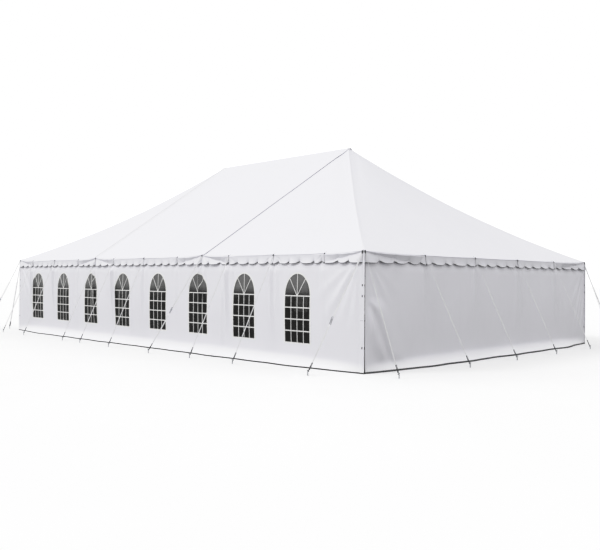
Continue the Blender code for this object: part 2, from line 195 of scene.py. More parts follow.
def coated_cloth(name, pale, shaded, roughness, foot=None, painted_light_high=0.21, painted_light_low=0.03):
    """Polyester cloth with a satin coating: threads, welds between strips, and soft clouds of tone.

    A wall's foot is painted paler towards the ground: painted light for the sky light that its spread skirt
    catches."""
    made, tree, shader = finish(name, roughness, specular=0.35)
    flat = node(tree, "UVMap", uv_map="flat").outputs[0]
    place = position(tree)
    cloudy = use(tree, clouds, place=place, scale=0.7, low=0.35, high=0.75)["Mask"]
    creased = use(tree, clouds, place=place, scale=5.0, low=0.3, high=0.8)["Mask"]
    welded = use(tree, welds, flat=flat, pitch=STRIP_WIDTH)["Mask"]
    threads = use(tree, weave, flat=flat, threads=190.0)["Height"]
    tone = maths(tree, "MULTIPLY_ADD", creased, 0.25, cloudy)
    base = blend(tree, maths(tree, "MULTIPLY", tone, 0.6), pale, shaded)
    # Painted light: the wall's colour turns paler towards the ground, for the light on its spread skirt
    if foot:
        height = node(tree, "SeparateXYZ", {"Vector": place}).outputs["Z"]
        low = node(tree, "MapRange", {"Value": height, "From Min": painted_light_high, "From Max": painted_light_low},
                   interpolation_type="SMOOTHSTEP")
        base = blend(tree, low.outputs[0], base, foot)
    line = maths(tree, "MULTIPLY", welded, 0.02)
    tree.links.new(blend(tree, line, base, WELD_TINT), shader.inputs["Base Color"])
    gloss = node(tree, "MapRange", {"Value": creased, "To Min": roughness - 0.04, "To Max": roughness + 0.05})
    tree.links.new(gloss.outputs[0], shader.inputs["Roughness"])
    relief(tree, shader, maths(tree, "MULTIPLY_ADD", welded, 2.0, threads), 0.0003, 0.5)
    return made


roof_vinyl = coated_cloth("roof_vinyl", (0.765, 0.762, 0.815), (0.745, 0.742, 0.795), 0.42)


def smooth(low, high, value):
    """0 at low, 1 at high, with a soft step between."""
    part = max(0.0, min(1.0, (value - low) / (high - low)))
    return part * part * (3 - 2 * part)


def bell(value, width):
    return math.exp(-(value / width) ** 2)


def spaced(first, last, step):
    count = max(1, round(abs(last - first) / step))
    return [first + (last - first) * n / count for n in range(count + 1)]


def on_side(side, along, out, up):
    return PLACES[side] @ Vector((along, out, up))


def from_side(side, point):
    """A point in a side's own measures."""
    return PLACES[side].inverted() @ point


def upward(height):
    return Vector((0, 0, height))


def eave_level(side, along):
    """Corner and seam poles stand a little higher, and the edge droops between two pins."""
    along = max(0.0, min(LENGTHS[side], along))
    reach = END_POLES[0] if side in ENDS else SIDE_POLES[0]
    nearest = min(abs(along - station) for station in STRUCTURAL[side])
    raised = EAVE_RAISE * max(0.0, 1 - nearest / reach) ** 1.4
    before = max(pin for pin in PINS[side] if pin <= along)
    after = min(pin for pin in PINS[side] if pin >= along)
    part = (along - before) / (after - before) if after > before else 0
    return EAVE + raised - EAVE_DROOP * 4 * part * (1 - part)


def roof_form(side, along, rise):
    """The fabric without its fine shape: a point at a share of the way up from eave to peak."""
    edge = along
    if along < EDGE_OUT:
        edge = -EDGE_OUT
    elif along > LENGTHS[side] - EDGE_OUT:
        edge = LENGTHS[side] + EDGE_OUT
    low = on_side(side, edge, EDGE_OUT, eave_level(side, along))
    peak, seam = half_length - PEAK_FROM_END, half_length - SEAM_FROM_END
    x = on_side(side, along, 0, 0).x * peak / seam
    high = Vector((max(-peak, min(peak, x)), 0, PEAK))
    from_corner = min(along, LENGTHS[side] - along)
    if side in ENDS:
        sag = END_SAG + (HIP_SAG - END_SAG) * (1 - 2 * from_corner / WIDTH) ** 2
    elif from_corner < SEAM_FROM_END:
        sag = HIP_SAG * (1 - from_corner / SEAM_FROM_END) ** 1.5
    else:
        middle = half_length - SEAM_FROM_END
        sag = MIDDLE_SAG * (1 - ((half_length - from_corner) / middle) ** 2)
    return low.lerp(high, rise) - upward(4 * rise * (1 - rise) * sag)


def roof_surface(side, along, rise):
    """The fabric with its webbing, slack and pleats."""
    point = roof_form(side, along, rise)
    from_corner = min(along, LENGTHS[side] - along)
    from_hip = HIP_SLANT * from_corner * (1 - rise)
    hip = HIP_CORD * bell(from_hip, HIP_CORD_WIDTH)
    hip -= HIP_SLACK * bell(from_hip - HIP_SLACK_FROM, HIP_SLACK_WIDTH) * smooth(*HIP_SLACK_RISES, rise)
    if side in ("front", "back") and from_corner > SEAM_FROM_END:
        hip = 0.0
    up = (point - roof_form(side, along, 0)).length
    pleats = 0.0
    for pin in PINS[side]:
        near = math.hypot(along - pin, up)
        if near < PLEAT_REACH:
            turn = math.atan2(up, along - pin)
            pleats += PLEAT * bell(near - PLEAT_FROM, PLEAT_WIDTH) * math.cos(PLEATS * turn)
    sway = SWAY * noise.noise(point / SWAY_SIZE) * smooth(*SWAY_FROM_EAVE, up) * smooth(*SWAY_TO_PEAK, rise)
    return point + upward(hip * smooth(*HIP_RISES, rise) + pleats + sway)


def mesh_of(name, shape):
    """The mesh of a shape that is done with."""
    mesh = bpy.data.meshes.new(name)
    shape.to_mesh(mesh)
    shape.free()
    return mesh


def softened(mesh, angle=35.0):
    """The mesh, smooth apart from its hard edges."""
    mesh.shade_smooth()
    mesh.set_sharp_from_angle(angle=math.radians(angle))
    return mesh


def settle(piece):
    """Keeps the shape that the modifiers give."""
    mesh = bpy.data.meshes.new_from_object(piece.evaluated_get(bpy.context.evaluated_depsgraph_get()))
    piece.modifiers.clear()
    piece.data = softened(mesh, 40.0)
    return piece


def placed(name, data):
    """A new object in the scene."""
    made = bpy.data.objects.new(name, data)
    bpy.context.scene.collection.objects.link(made)
    return made


def piece_of(name, mesh, finishes, replaces=()):
    """A finished piece on the tent's one body."""
    made = placed(name, mesh)
    for each in finishes:
        mesh.materials.append(each)
    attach(made, "root")
    if replaces:
        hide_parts(*replaces)
    return made


def steps_along(line):
    """How far each point lies along its line."""
    steps = [0.0]
    for a, b in zip(line, line[1:]):
        steps.append(steps[-1] + (b - a).length)
    return steps


def sheet_faces(shape, flat, grid, spot_on_flat):
    """Faces between rows of points, each corner with its spot on the flat cloth."""
    for i in range(len(grid) - 1):
        for j in range(len(grid[0]) - 1):
            spots = ((i, j), (i + 1, j), (i + 1, j + 1), (i, j + 1))
            face = shape.faces.new([grid[r][c] for r, c in spots])
            for loop, (r, c) in zip(face.loops, spots):
                loop[flat].uv = spot_on_flat(r, c)


def cloth(name, rows, finish, replaces=(), thick=CLOTH_THICK):
    """A sheet of cloth through rows of points, mapped by its flat measures in metres."""
    shape = bmesh.new()
    flat = shape.loops.layers.uv.new("flat")
    grid = [[shape.verts.new(point) for point in row] for row in rows]
    middle = len(rows[0]) // 2
    wide, tall = steps_along(rows[0]), steps_along([row[middle] for row in rows])
    sheet_faces(shape, flat, grid, lambda r, c: (wide[c], tall[r]))
    made = piece_of(name, mesh_of(name, shape), [finish], replaces)
    body = made.modifiers.new("thickness", "SOLIDIFY")
    body.thickness = thick
    body.offset = -1
    return settle(made)


def wire(name, lines, radius, finish, sides=2, widths=None):
    """Round cord, rod or hem along one or more lines of points; widths scale its radius at each point."""
    curve = bpy.data.curves.new(name, "CURVE")
    curve.dimensions = "3D"
    curve.bevel_depth = radius
    curve.bevel_resolution = sides
    curve.use_fill_caps = True
    for line in lines:
        spline = curve.splines.new("POLY")
        spline.points.add(len(line) - 1)
        for number, (point, place) in enumerate(zip(spline.points, line)):
            point.co = (*place, 1)
            if widths:
                point.radius = widths[number]
    drawn = placed(name + "_line", curve)
    mesh = bpy.data.meshes.new_from_object(drawn.evaluated_get(bpy.context.evaluated_depsgraph_get()))
    bpy.data.objects.remove(drawn)
    mesh.materials.clear()
    mesh.shade_smooth()
    return piece_of(name, mesh, [finish])


def roof_hem(name, edges):
    """The rolled hem just under an eave's edge."""
    rolled = [[p - upward(ROOF_HEM_DROP) for p in edge] for edge in edges]
    wire(name, rolled, ROOF_HEM_RADIUS, roof_vinyl)


RISES = spaced(0, 0.06, 0.006)[:-1] + spaced(0.06, 0.9, 0.018)[:-1] + spaced(0.9, PEAK_RING, 0.008)


def end_columns(before, end, after):
    columns = [(before, s) for s in spaced(LENGTH - SEAM_FROM_END, LENGTH, CLOTH_STEP)]
    columns += [(end, s) for s in spaced(0, WIDTH, CLOTH_STEP)[1:]]
    return columns + [(after, s) for s in spaced(0, SEAM_FROM_END, CLOTH_STEP)[1:]]


for end, before, after in (("right", "back", "front"), ("left", "front", "back")):
    columns = end_columns(before, end, after)
    apart = Vector((SECTION_GAP if end == "right" else -SECTION_GAP, 0, 0))
    rows = [[roof_surface(side, s, rise) + apart for side, s in columns] for rise in RISES]
    made = cloth("roof_%s_end_cloth" % end, rows, roof_vinyl, ["roof_%s_end" % end])
    roof_hem("roof_%s_end_hem" % end, rows[:1])

columns = spaced(SEAM_FROM_END, LENGTH - SEAM_FROM_END, CLOTH_STEP)
front = [[roof_surface("front", s, rise) for s in columns] for rise in RISES + [1]]
back = [[roof_surface("back", LENGTH - s, rise) for s in columns] for rise in RISES]
narrowed = 1 - SECTION_GAP / (half_length - SEAM_FROM_END)
rows = [[Vector((p.x * narrowed, p.y, p.z)) for p in row] for row in front + back[::-1]]
made = cloth("roof_middle_cloth", rows, roof_vinyl, ["roof_middle"])
over = steps_along([row[0] for row in rows])[-1]
roof_hem("roof_middle_hems", (rows[0], rows[-1]))

# Rain flaps: a strip sewn to the middle section along each laced seam, that lies over the lacing.
# Its free edge is bound with grey tape and stands slightly off the fabric below it; the tape's grey is partly
# painted shade, for the thin shade line along the seam.
FLAP_OVER, FLAP_UNDER, FLAP_THICK = 0.075, 0.03, 0.0008
FLAP_LIFTS = (0.0012, 0.002, 0.003, 0.004)
TAPE_WIDTH, TAPE_THICK, TAPE_LAP = 0.030, 0.002, 0.002
TAPE_LIFTS = (0.005, 0.006)
SEAM_TOP = 0.995


def woven_trim(name, roughness, pale, dull, clouding, threads, depth, strength=1.0, specular=0.5,
               mapped=False):
    """Tape, cord or webbing in clouds of two tones, with its threads in relief."""
    made, tree, shader = finish(name, roughness, specular=specular)
    place = position(tree)
    flat = node(tree, "UVMap", uv_map="flat").outputs[0] if mapped else place
    worn = use(tree, clouds, place=place, scale=clouding)["Mask"]
    tree.links.new(blend(tree, worn, pale, dull), shader.inputs["Base Color"])
    relief(tree, shader, use(tree, weave, flat=flat, threads=threads)["Height"], depth, strength)
    return made


def strip_rows(line, away, offsets, lifts):
    """Rows of a strip along a seam, each some way over from it and above the fabric."""
    return [[p + away * offset + upward(lift) for p in line] for offset, lift in zip(offsets, lifts)]


# The tape's grey is partly painted shade, for the thin shade line along each seam
seam_shade_tape = woven_trim("seam_shade_tape", 0.6, (0.56, 0.555, 0.585), (0.62, 0.615, 0.645), 9.0, 150.0, 0.0004)
for side in ("front", "back"):
    for end, seam in (("right", SEAM_FROM_END), ("left", LENGTH - SEAM_FROM_END)):
        if side == "back":
            seam = LENGTH - seam
        away = Vector((1 if end == "right" else -1, 0, 0))
        line = [roof_surface(side, seam, rise) for rise in RISES + [SEAM_TOP]]
        if (side == "front") == (end == "right"):
            line.reverse()
        length = steps_along(line)[-1]
        offsets = (-FLAP_UNDER, 0.0, FLAP_OVER * 0.6, FLAP_OVER - TAPE_WIDTH)
        strip = cloth("seam_flap_%s_%s" % (side, end), strip_rows(line, away, offsets, FLAP_LIFTS),
                      roof_vinyl, thick=FLAP_THICK)
        offsets = (FLAP_OVER - TAPE_WIDTH - TAPE_LAP, FLAP_OVER)
        bound = cloth("seam_tape_%s_%s" % (side, end), strip_rows(line, away, offsets, TAPE_LIFTS),
                      seam_shade_tape, thick=TAPE_THICK)

# Centre poles: one galvanised steel tube under each peak, on a round base plate with four gussets.
# Its pin goes through the peak's ring.
CENTRE_RADIUS, CENTRE_TAPER, SHOULDER_DOWN = 0.05, 0.008, 0.105
PLATE_RADIUS, PLATE_THICK, PLATE_ROUNDED = 0.15, 0.012, 0.003
HEAD_RADIUS, HEAD_UP, HEAD_SLOPE_UP = 0.034, 0.012, 0.016
PEAK_PIN_RADIUS, PEAK_PIN_TIP, PEAK_PIN_FROM_TOP, TIP_FROM_TOP = 0.016, 0.012, 0.05, 0.03
GUSSET_REACH, GUSSET_HEIGHT, GUSSET_THICK, GUSSET_TOE, GUSSET_SUNK = 0.085, 0.11, 0.006, 0.012, 0.004
BOLT_RADIUS, BOLT_HEIGHT, BOLT_AT, BOLT_ROUNDED = 0.009, 0.012, 0.118, 0.002
PEAKS = {"right": half_length - PEAK_FROM_END, "left": PEAK_FROM_END - half_length}

streaks, given, put = effect(
    "zinc spangle",
    [("Place", "Vector", None), ("Grain", "Float", 60.0)], [("Mask", "Float"), ("Height", "Float")])
spangle = node(streaks, "TexVoronoi", {"Vector": given["Place"], "Scale": given["Grain"]})
tint = node(streaks, "SeparateColor", {"Color": spangle.outputs["Color"]})
scratch = node(streaks, "TexNoise", {"Vector": given["Place"], "Scale": 35.0, "Detail": 6.0})
streaks.links.new(tint.outputs["Red"], put["Mask"])
streaks.links.new(scratch.outputs[0], put["Height"])


def metal(name, pale, dull, roughness, metallic, grain):
    """Bare or coated steel with a mottled surface."""
    made, tree, shader = finish(name, roughness, metallic)
    place = position(tree)
    mottled = use(tree, streaks, place=place, grain=grain)
    rubbed = use(tree, clouds, place=place, scale=14.0, low=0.35, high=0.7)["Mask"]
    share = maths(tree, "MULTIPLY", mottled["Mask"], rubbed)
    tree.links.new(blend(tree, share, pale, dull), shader.inputs["Base Color"])
    gloss = node(tree, "MapRange", {"Value": rubbed, "To Min": roughness - 0.08, "To Max": roughness + 0.12})
    tree.links.new(gloss.outputs[0], shader.inputs["Roughness"])
    relief(tree, shader, mottled["Height"], 0.0004, 0.4)
    return made


galvanised = metal("galvanised_steel", (0.62, 0.63, 0.65), (0.42, 0.43, 0.45), 0.42, 0.85, 70.0)
dark_steel = metal("dark_steel", (0.055, 0.055, 0.06), (0.028, 0.028, 0.03), 0.5, 0.3, 90.0)
painted_steel = metal("painted_steel", (0.72, 0.72, 0.74), (0.62, 0.62, 0.64), 0.5, 0.0, 40.0)


def turned(shape, profile, sides, place=Matrix.Identity(4), finish=0):
    """A round piece from its profile of (radius, height) points, bottom to top."""
    rings = []
    for radius, height in profile:
        ring = []
        for step in range(sides):
            angle = 2 * math.pi * step / sides
            spot = Vector((radius * math.cos(angle), radius * math.sin(angle), height))
            ring.append(shape.verts.new(place @ spot))
        rings.append(ring)
    for low, high in zip(rings, rings[1:]):
        for n in range(sides):
            face = shape.faces.new((low[n], low[n - 1], high[n - 1], high[n]))
            face.material_index = finish
    shape.faces.new(rings[0][::-1]).material_index = finish
    shape.faces.new(rings[-1]).material_index = finish


def block(shape, size, place, finish=0, rounded=0.0):
    """A rectangular piece with its edges taken off."""
    made = bmesh.ops.create_cube(shape, size=1, matrix=place @ Matrix.Diagonal((*size, 1)))["verts"]
    faces = {face for vert in made for face in vert.link_faces}
    for face in faces:
        face.material_index = finish
    if rounded:
        edges = {edge for vert in made for edge in vert.link_edges}
        bmesh.ops.bevel(shape, geom=list(edges), offset=rounded, segments=2, affect="EDGES",
                        clamp_overlap=True)


def prism(shape, first, last):
    """A solid between two outlines of as many points."""
    ends = [[shape.verts.new(point) for point in outline] for outline in (first, last)]
    shape.faces.new(ends[0])
    shape.faces.new(ends[1][::-1])
    for n in range(len(first)):
        shape.faces.new((ends[0][n - 1], ends[0][n], ends[1][n], ends[1][n - 1]))


def mesh_from(name, shape):
    """The finished mesh of a shape, its faces turned out."""
    bmesh.ops.recalc_face_normals(shape, faces=shape.faces)
    return softened(mesh_of(name, shape))


def rod(shape, start, end, radius, sides=10, finish=0):
    """A round bar from one point to another."""
    run = Vector(end) - Vector(start)
    place = Matrix.Translation(start) @ run.to_track_quat("Z", "Y").to_matrix().to_4x4()
    chamfer = min(radius * 0.25, run.length * 0.1)
    profile = [(radius - chamfer, 0), (radius, chamfer), (radius, run.length - chamfer),
               (radius - chamfer, run.length)]
    turned(shape, profile, sides, place, finish)


for end, x in PEAKS.items():
    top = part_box("centre_pole_%s" % end)[1].z
    shoulder = top - SHOULDER_DOWN
    shape = bmesh.new()
    turned(shape, [(PLATE_RADIUS - PLATE_ROUNDED, 0), (PLATE_RADIUS, PLATE_ROUNDED),
                   (PLATE_RADIUS, PLATE_THICK - PLATE_ROUNDED),
                   (PLATE_RADIUS - PLATE_ROUNDED, PLATE_THICK)], 48)
    turned(shape, [(CENTRE_RADIUS, PLATE_THICK - 0.001), (CENTRE_RADIUS, shoulder - 0.01),
                   (CENTRE_RADIUS - CENTRE_TAPER, shoulder)], 32)
    turned(shape, [(HEAD_RADIUS, shoulder - 0.001), (HEAD_RADIUS, shoulder + HEAD_UP),
                   (PEAK_PIN_RADIUS, shoulder + HEAD_SLOPE_UP), (PEAK_PIN_RADIUS, top - PEAK_PIN_FROM_TOP),
                   (PEAK_PIN_TIP, top - TIP_FROM_TOP)], 20)
    for turn in range(4):
        spin = Matrix.Rotation(math.pi / 2 * turn, 4, "Z")
        root, toe = CENTRE_RADIUS - GUSSET_SUNK, CENTRE_RADIUS + GUSSET_REACH
        corners = [(root, PLATE_THICK), (toe, PLATE_THICK), (toe, PLATE_THICK + GUSSET_TOE),
                   (root, PLATE_THICK + GUSSET_HEIGHT)]
        prism(shape, *[[spin @ Vector((r, y, z)) for r, z in corners]
                       for y in (-GUSSET_THICK / 2, GUSSET_THICK / 2)])
        between = Matrix.Rotation(math.pi / 2 * turn + math.pi / 4, 4, "Z")
        turned(shape, [(BOLT_RADIUS, 0), (BOLT_RADIUS, BOLT_HEIGHT - BOLT_ROUNDED),
                       (BOLT_RADIUS - BOLT_ROUNDED, BOLT_HEIGHT)], 6,
               between @ Matrix.Translation((BOLT_AT, 0, PLATE_THICK)))
    mesh = mesh_from("centre_pole", shape)
    mesh.transform(Matrix.Translation((x, 0, 0)))
    piece_of("centre_pole_%s_tube" % end, mesh, [galvanised], ["centre_pole_%s" % end])

# Peak rings: a dished steel ring laced into each peak of the roof.
# Its collar is just wide enough for the centre pole's pin.
RING_RADIUS, RING_SLOPE, RING_LIFT = 0.060, 0.70, 0.004
COLLAR_RADIUS = 0.026
RIM_PROFILE = ((-0.004, -0.003), (0, -0.001), (-0.001, 0.003))
COLLAR_PROFILE = ((0.004, 0.001), (0, 0.004), (-0.002, 0.008), (-0.005, 0.010))
for end, x in PEAKS.items():
    shape = bmesh.new()
    profile = []
    for radius, offsets in ((RING_RADIUS, RIM_PROFILE), (COLLAR_RADIUS, COLLAR_PROFILE)):
        level = PEAK + RING_LIFT - radius * RING_SLOPE
        profile += [(radius + out, level + up) for out, up in offsets]
    turned(shape, profile, 40)
    mesh = mesh_from("peak_ring", shape)
    mesh.transform(Matrix.Translation((x, 0, 0)))
    piece_of("peak_ring_%s" % end, mesh, [painted_steel])

# Eave poles: steel tubes with a joint sleeve half-way up and a dark pin that goes through the roof.
# Those along the walls stand inside them; the corner ones show, on a round foot.
POLE_RADIUS, POLE_ROUNDED, POLE_TOP_ROUNDED = 0.025, 0.003, 0.004
PIN_RADIUS, PIN_UP, PIN_TIP = 0.008, 0.026, 0.006
SLEEVE_PROUD, SLEEVE_FROM, SLEEVE_TO = 0.0025, 1.05, 1.11
SIDE_AXIS, END_AXIS, CORNER_AXIS = -0.0336, -0.0313, -0.016
FOOT_RADIUS, FOOT_THICK = 0.042, 0.012
FABRIC_DROP = 0.0093


def roof_level(side, along, out):
    """Top of the fabric near the eave."""
    low, high = (from_side(side, roof_form(side, along, rise)) for rise in (0, 0.02))
    return low.z + (high.z - low.z) * (low.y - out) / (low.y - high.y)


def add_pole(shape, spot, top, foot=False):
    place = Matrix.Translation((spot.x, spot.y, 0))
    turned(shape, [(POLE_RADIUS - POLE_ROUNDED, 0.0), (POLE_RADIUS, POLE_ROUNDED),
                   (POLE_RADIUS, top - POLE_TOP_ROUNDED), (POLE_RADIUS - POLE_TOP_ROUNDED, top)], 20, place)
    turned(shape, [(PIN_RADIUS, top - 0.002), (PIN_RADIUS, top + PIN_UP - PIN_TIP),
                   (PIN_RADIUS * 0.5, top + PIN_UP)], 10, place, 1)
    sleeve = POLE_RADIUS + SLEEVE_PROUD
    turned(shape, [(sleeve, SLEEVE_FROM), (sleeve, SLEEVE_TO)], 20, place)
    if foot:
        turned(shape, [(FOOT_RADIUS - 0.002, 0), (FOOT_RADIUS, 0.002), (FOOT_RADIUS, FOOT_THICK - 0.002),
                       (POLE_RADIUS + 0.006, FOOT_THICK + 0.002), (POLE_RADIUS + 0.002, FOOT_THICK + 0.03)],
               24, place, 1)


def pole_piece(name, spots, foot=False):
    """The tubes of one node; each spot is a side, a distance along it and the pole's axis."""
    shape = bmesh.new()
    for side, along, axis in spots:
        if foot:
            spot = on_side(side, -axis, axis, 0)
            top = roof_level("front", EDGE_OUT - axis, axis + POLE_RADIUS)
        else:
            spot = on_side(side, along, axis, 0)
            top = roof_level(side, along, axis + POLE_RADIUS)
        add_pole(shape, spot, top - FABRIC_DROP, foot)
    mesh = mesh_from(name, shape)
    tube = painted_steel if foot else galvanised
    return piece_of(name + "_tubes", mesh, [tube, dark_steel], [name])


ROW_NAMES = {"front": ("right", "middle", "left"), "back": ("left", "middle", "right")}
CORNERS = {"front": "front_right", "left": "front_left", "back": "back_left", "right": "back_right"}
for side, names in ROW_NAMES.items():
    for number, name in enumerate(names):
        first = number * SEAM_FROM_END
        pole_piece("side_poles_%s_%s" % (side, name),
                   [(side, first + pole, SIDE_AXIS) for pole in SIDE_POLES])
    for name, along in ((names[0], SEAM_FROM_END), (names[2], LENGTH - SEAM_FROM_END)):
        pole_piece("seam_pole_%s_%s" % (side, name), [(side, along, SIDE_AXIS)])
for side in ("right", "left"):
    for number, along in enumerate(END_POLES):
        pole_piece("end_pole_%s_%d" % (side, number + 1), [(side, along, END_AXIS)])
for side, name in CORNERS.items():
    pole_piece("corner_pole_" + name, [(side, 0, CORNER_AXIS)], foot=True)

# Guys: a short dark webbing tab over the eave ends in a ring. A white strap runs from it to a hooked flat
# steel link on the stake, which stands out from the wall and to one side of the pole. The long guys of
# corners and seams have a ratchet too; the first side pole after a corner or seam has a tab but no guy.
GUY_OUT, LONG_GUY_OUT, CORNER_END_GUY_OUT = 0.75, 0.85, 0.77
SIDE_GUY_LEAN, SEAM_GUY_LEAN, CORNER_GUY_LEAN, END_GUY_LEAN = 0.35, 0.80, 0.50, -0.45
TAB_WIDTH, TAB_THICK, TAB_DOWN, TAB_LIFT = 0.027, 0.002, 0.024, 0.003
TAB_OVER, TAB_BEND, RING_BELOW_TAB = 0.006, 0.003, 0.008
CORNER_TAB_WIDTH, CORNER_TAB_DOWN, CORNER_TABS_APART, CORNER_EDGE_DROP = 0.029, 0.045, 0.004, 0.012
STRAP_WIDTH, SIDE_STRAP_WIDTH, STRAP_THICK = 0.023, 0.016, 0.002
STRAP_SAG, STRAP_STEPS = 0.012, 40
END_TWIST, SIDE_TWIST = 0.3, 0.44
TAB_RING_WIRE = 0.0042
HOOK_HEIGHT, HOOK_LENGTH, HOOK_LAP = 0.072, 0.165, 0.01
RATCHET_UP, RATCHET_LENGTH = 0.37, 0.19
STAKE_RADIUS, STAKE_HEIGHT, STAKE_TURN = 0.0115, 0.10, 0.7
STAKE_HEAD, STAKE_HEAD_THICK = 0.019, 0.013
TAB_FROM_EDGE, TAB_RING_HALF, TAB_RING_OUT = (0.2, 0.1), STRAP_WIDTH * 0.55, 0.005
TWIST_FROM_TO = (0.62, 0.9)
white_webbing = woven_trim("white_webbing", 0.62, (0.74, 0.74, 0.75), (0.66, 0.66, 0.67), 11.0, 130.0,
                           0.0004, 0.8, specular=0.3, mapped=True)
dark_webbing = woven_trim("dark_webbing", 0.62, (0.035, 0.035, 0.04), (0.06, 0.06, 0.065), 11.0, 130.0,
                          0.0004, 0.8, specular=0.3, mapped=True)


def ratchet_mesh():
    """Ratchet from its hook end, z = 0, up to the strap's end: frame, drum, handle and wound strap."""
    shape = bmesh.new()
    for side in (-1, 1):
        block(shape, (0.003, 0.018, 0.105), Matrix.Translation((side * 0.0125, 0, 0.105)), 0, 0.001)
        block(shape, (0.0025, 0.012, 0.105), Matrix.Translation((side * 0.0155, 0.009, 0.145))
              @ Matrix.Rotation(math.radians(-6), 4, "X"), 0, 0.001)
        turned(shape, [(0.011, 0), (0.0125, 0.001), (0.0125, 0.003), (0.011, 0.004)], 16,
               Matrix.Translation((side * 0.0145 - 0.002, 0, 0.09)) @ Matrix.Rotation(math.pi / 2, 4, "Y"))
    for half, back, up, radius, sides in ((0.016, 0, 0.09, 0.005, 10), (0.011, 0, 0.09, 0.009, 20),
                                          (0.015, 0, 0.062, 0.0035, 10), (0.016, 0.014, 0.195, 0.006, 12)):
        rod(shape, (-half, back, up), (half, back, up), radius, sides)
    block(shape, (0.021, 0.0022, 0.09), Matrix.Translation((0, 0, 0.034)), 1)
    return mesh_from("ratchet", shape)


def link_mesh():
    """Hooked link from the stake, z = 0, up to the strap: a flat steel body with a slot, and its hook."""
    shape = bmesh.new()
    for side in (-1, 1):
        block(shape, (0.013, 0.007, 0.130), Matrix.Translation((side * 0.0115, 0, 0.093)), 0, 0.0015)
    block(shape, (0.035, 0.007, 0.012), Matrix.Translation((0, 0, HOOK_LENGTH - 0.009)), 0, 0.0015)
    block(shape, (0.0160, 0.006, 0.070), Matrix.Translation((0, 0, 0.064)), 0, 0.001)
    block(shape, (0.0085, 0.004, 0.050), Matrix.Translation((0, 0, 0.126)), 1)
    rod(shape, (0, 0, 0.038), (0, 0, 0.006), 0.006, 12)
    rod(shape, (0, 0, 0.008), (0, -0.012, -0.004), 0.005, 12)
    rod(shape, (0, -0.011, -0.0035), (0, -0.02, 0.006), 0.0045, 12)
    return mesh_from("link", shape)


def stake_mesh():
    """Round steel stake, its head spread by the hammer."""
    neck = STAKE_HEIGHT - STAKE_HEAD_THICK
    shape = bmesh.new()
    turned(shape, [(STAKE_RADIUS, 0), (STAKE_RADIUS, neck - 0.004), (STAKE_HEAD - 0.002, neck),
                   (STAKE_HEAD, neck + 0.003), (STAKE_HEAD, STAKE_HEIGHT - 0.004),
                   (STAKE_HEAD - 0.004, STAKE_HEIGHT)], 16)
    return mesh_from("stake", shape)


def merged(name, copies, finishes):
    """One piece from small meshes, each copied to its place."""
    shape = bmesh.new()
    for mesh, place in copies:
        moved = mesh.copy()
        moved.transform(place)
        shape.from_mesh(moved)
        bpy.data.meshes.remove(moved)
    return piece_of(name, softened(mesh_of(name, shape)), finishes)


def ribbon(shape, flat, points, across, normals, width, thick):
    """Webbing through points: its width lies along across and its thickness along the normals."""
    rings = []
    lengths = steps_along(points)
    corners = ((-1, -1), (1, -1), (1, 1), (-1, 1))
    for point, side, normal in zip(points, across, normals):
        rings.append([shape.verts.new(point + side * (width / 2 * a) + normal * (thick / 2 * b))
                      for a, b in corners])
    for n in range(len(rings) - 1):
        for k in range(4):
            after = (k + 1) % 4
            face = shape.faces.new((rings[n][k], rings[n][after], rings[n + 1][after], rings[n + 1][k]))
            marks = ((k, n), (after, n), (after, n + 1), (k, n + 1))
            for loop, (corner, ring) in zip(face.loops, marks):
                loop[flat].uv = (width * (0.5 + 0.5 * corners[corner][0]), lengths[ring])
    shape.faces.new(rings[0][::-1])
    shape.faces.new(rings[-1])


def webbing_piece(name, shape, finish):
    bmesh.ops.recalc_face_normals(shape, faces=shape.faces)
    return piece_of(name, mesh_of(name, shape), [finish])


def is_pole(side, along, number):
    """Whether a pin is that of the given pole after a corner or a seam."""
    return any(abs(along - each - SIDE_POLES[number]) < 0.01 for each in STRUCTURAL[side])


def guy_list():
    """Each guy: its pin's foot and the eave's edge on the fabric, the way out, its stake, and its kinds."""
    guys = []
    for side in PLACES:
        turn = PLACES[side].to_3x3()
        out = turn @ Vector((0, 1, 0))
        ends = side in ENDS
        axis = END_AXIS if ends else SIDE_AXIS
        for along in PINS[side][1:-1]:
            long = along in STRUCTURAL[side]
            bare = not ends and is_pole(side, along, 0)
            lean = END_GUY_LEAN if ends else SEAM_GUY_LEAN if long else SIDE_GUY_LEAN
            spot = on_side(side, along, axis, roof_level(side, along, axis))
            edge = on_side(side, along, EDGE_OUT, roof_level(side, along, EDGE_OUT))
            foot = on_side(side, along + lean, LONG_GUY_OUT if long else GUY_OUT, 0)
            guys.append((spot, edge, out, None if bare else foot, long, ends, False))
        level = roof_level("front", EDGE_OUT - CORNER_AXIS, CORNER_AXIS)
        corner = on_side(side, -CORNER_AXIS, CORNER_AXIS, level)
        aside = turn @ Vector((-1, 0, 0))
        for way, rise in ((out, 0.0), (aside, CORNER_TABS_APART)):
            long = abs(way.y) > 0.5
            reach = LONG_GUY_OUT if long else CORNER_END_GUY_OUT
            sideways = Vector((0, 0, 1)).cross(way) * (-CORNER_GUY_LEAN if long else 0.0)
            foot = corner + way * (reach - CORNER_AXIS) + sideways
            foot.z = 0
            lifted = corner + upward(rise)
            edge = lifted + way * (EDGE_OUT - CORNER_AXIS) - upward(CORNER_EDGE_DROP)
            guys.append((lifted, edge, way, foot, long, not long, True))
    return guys


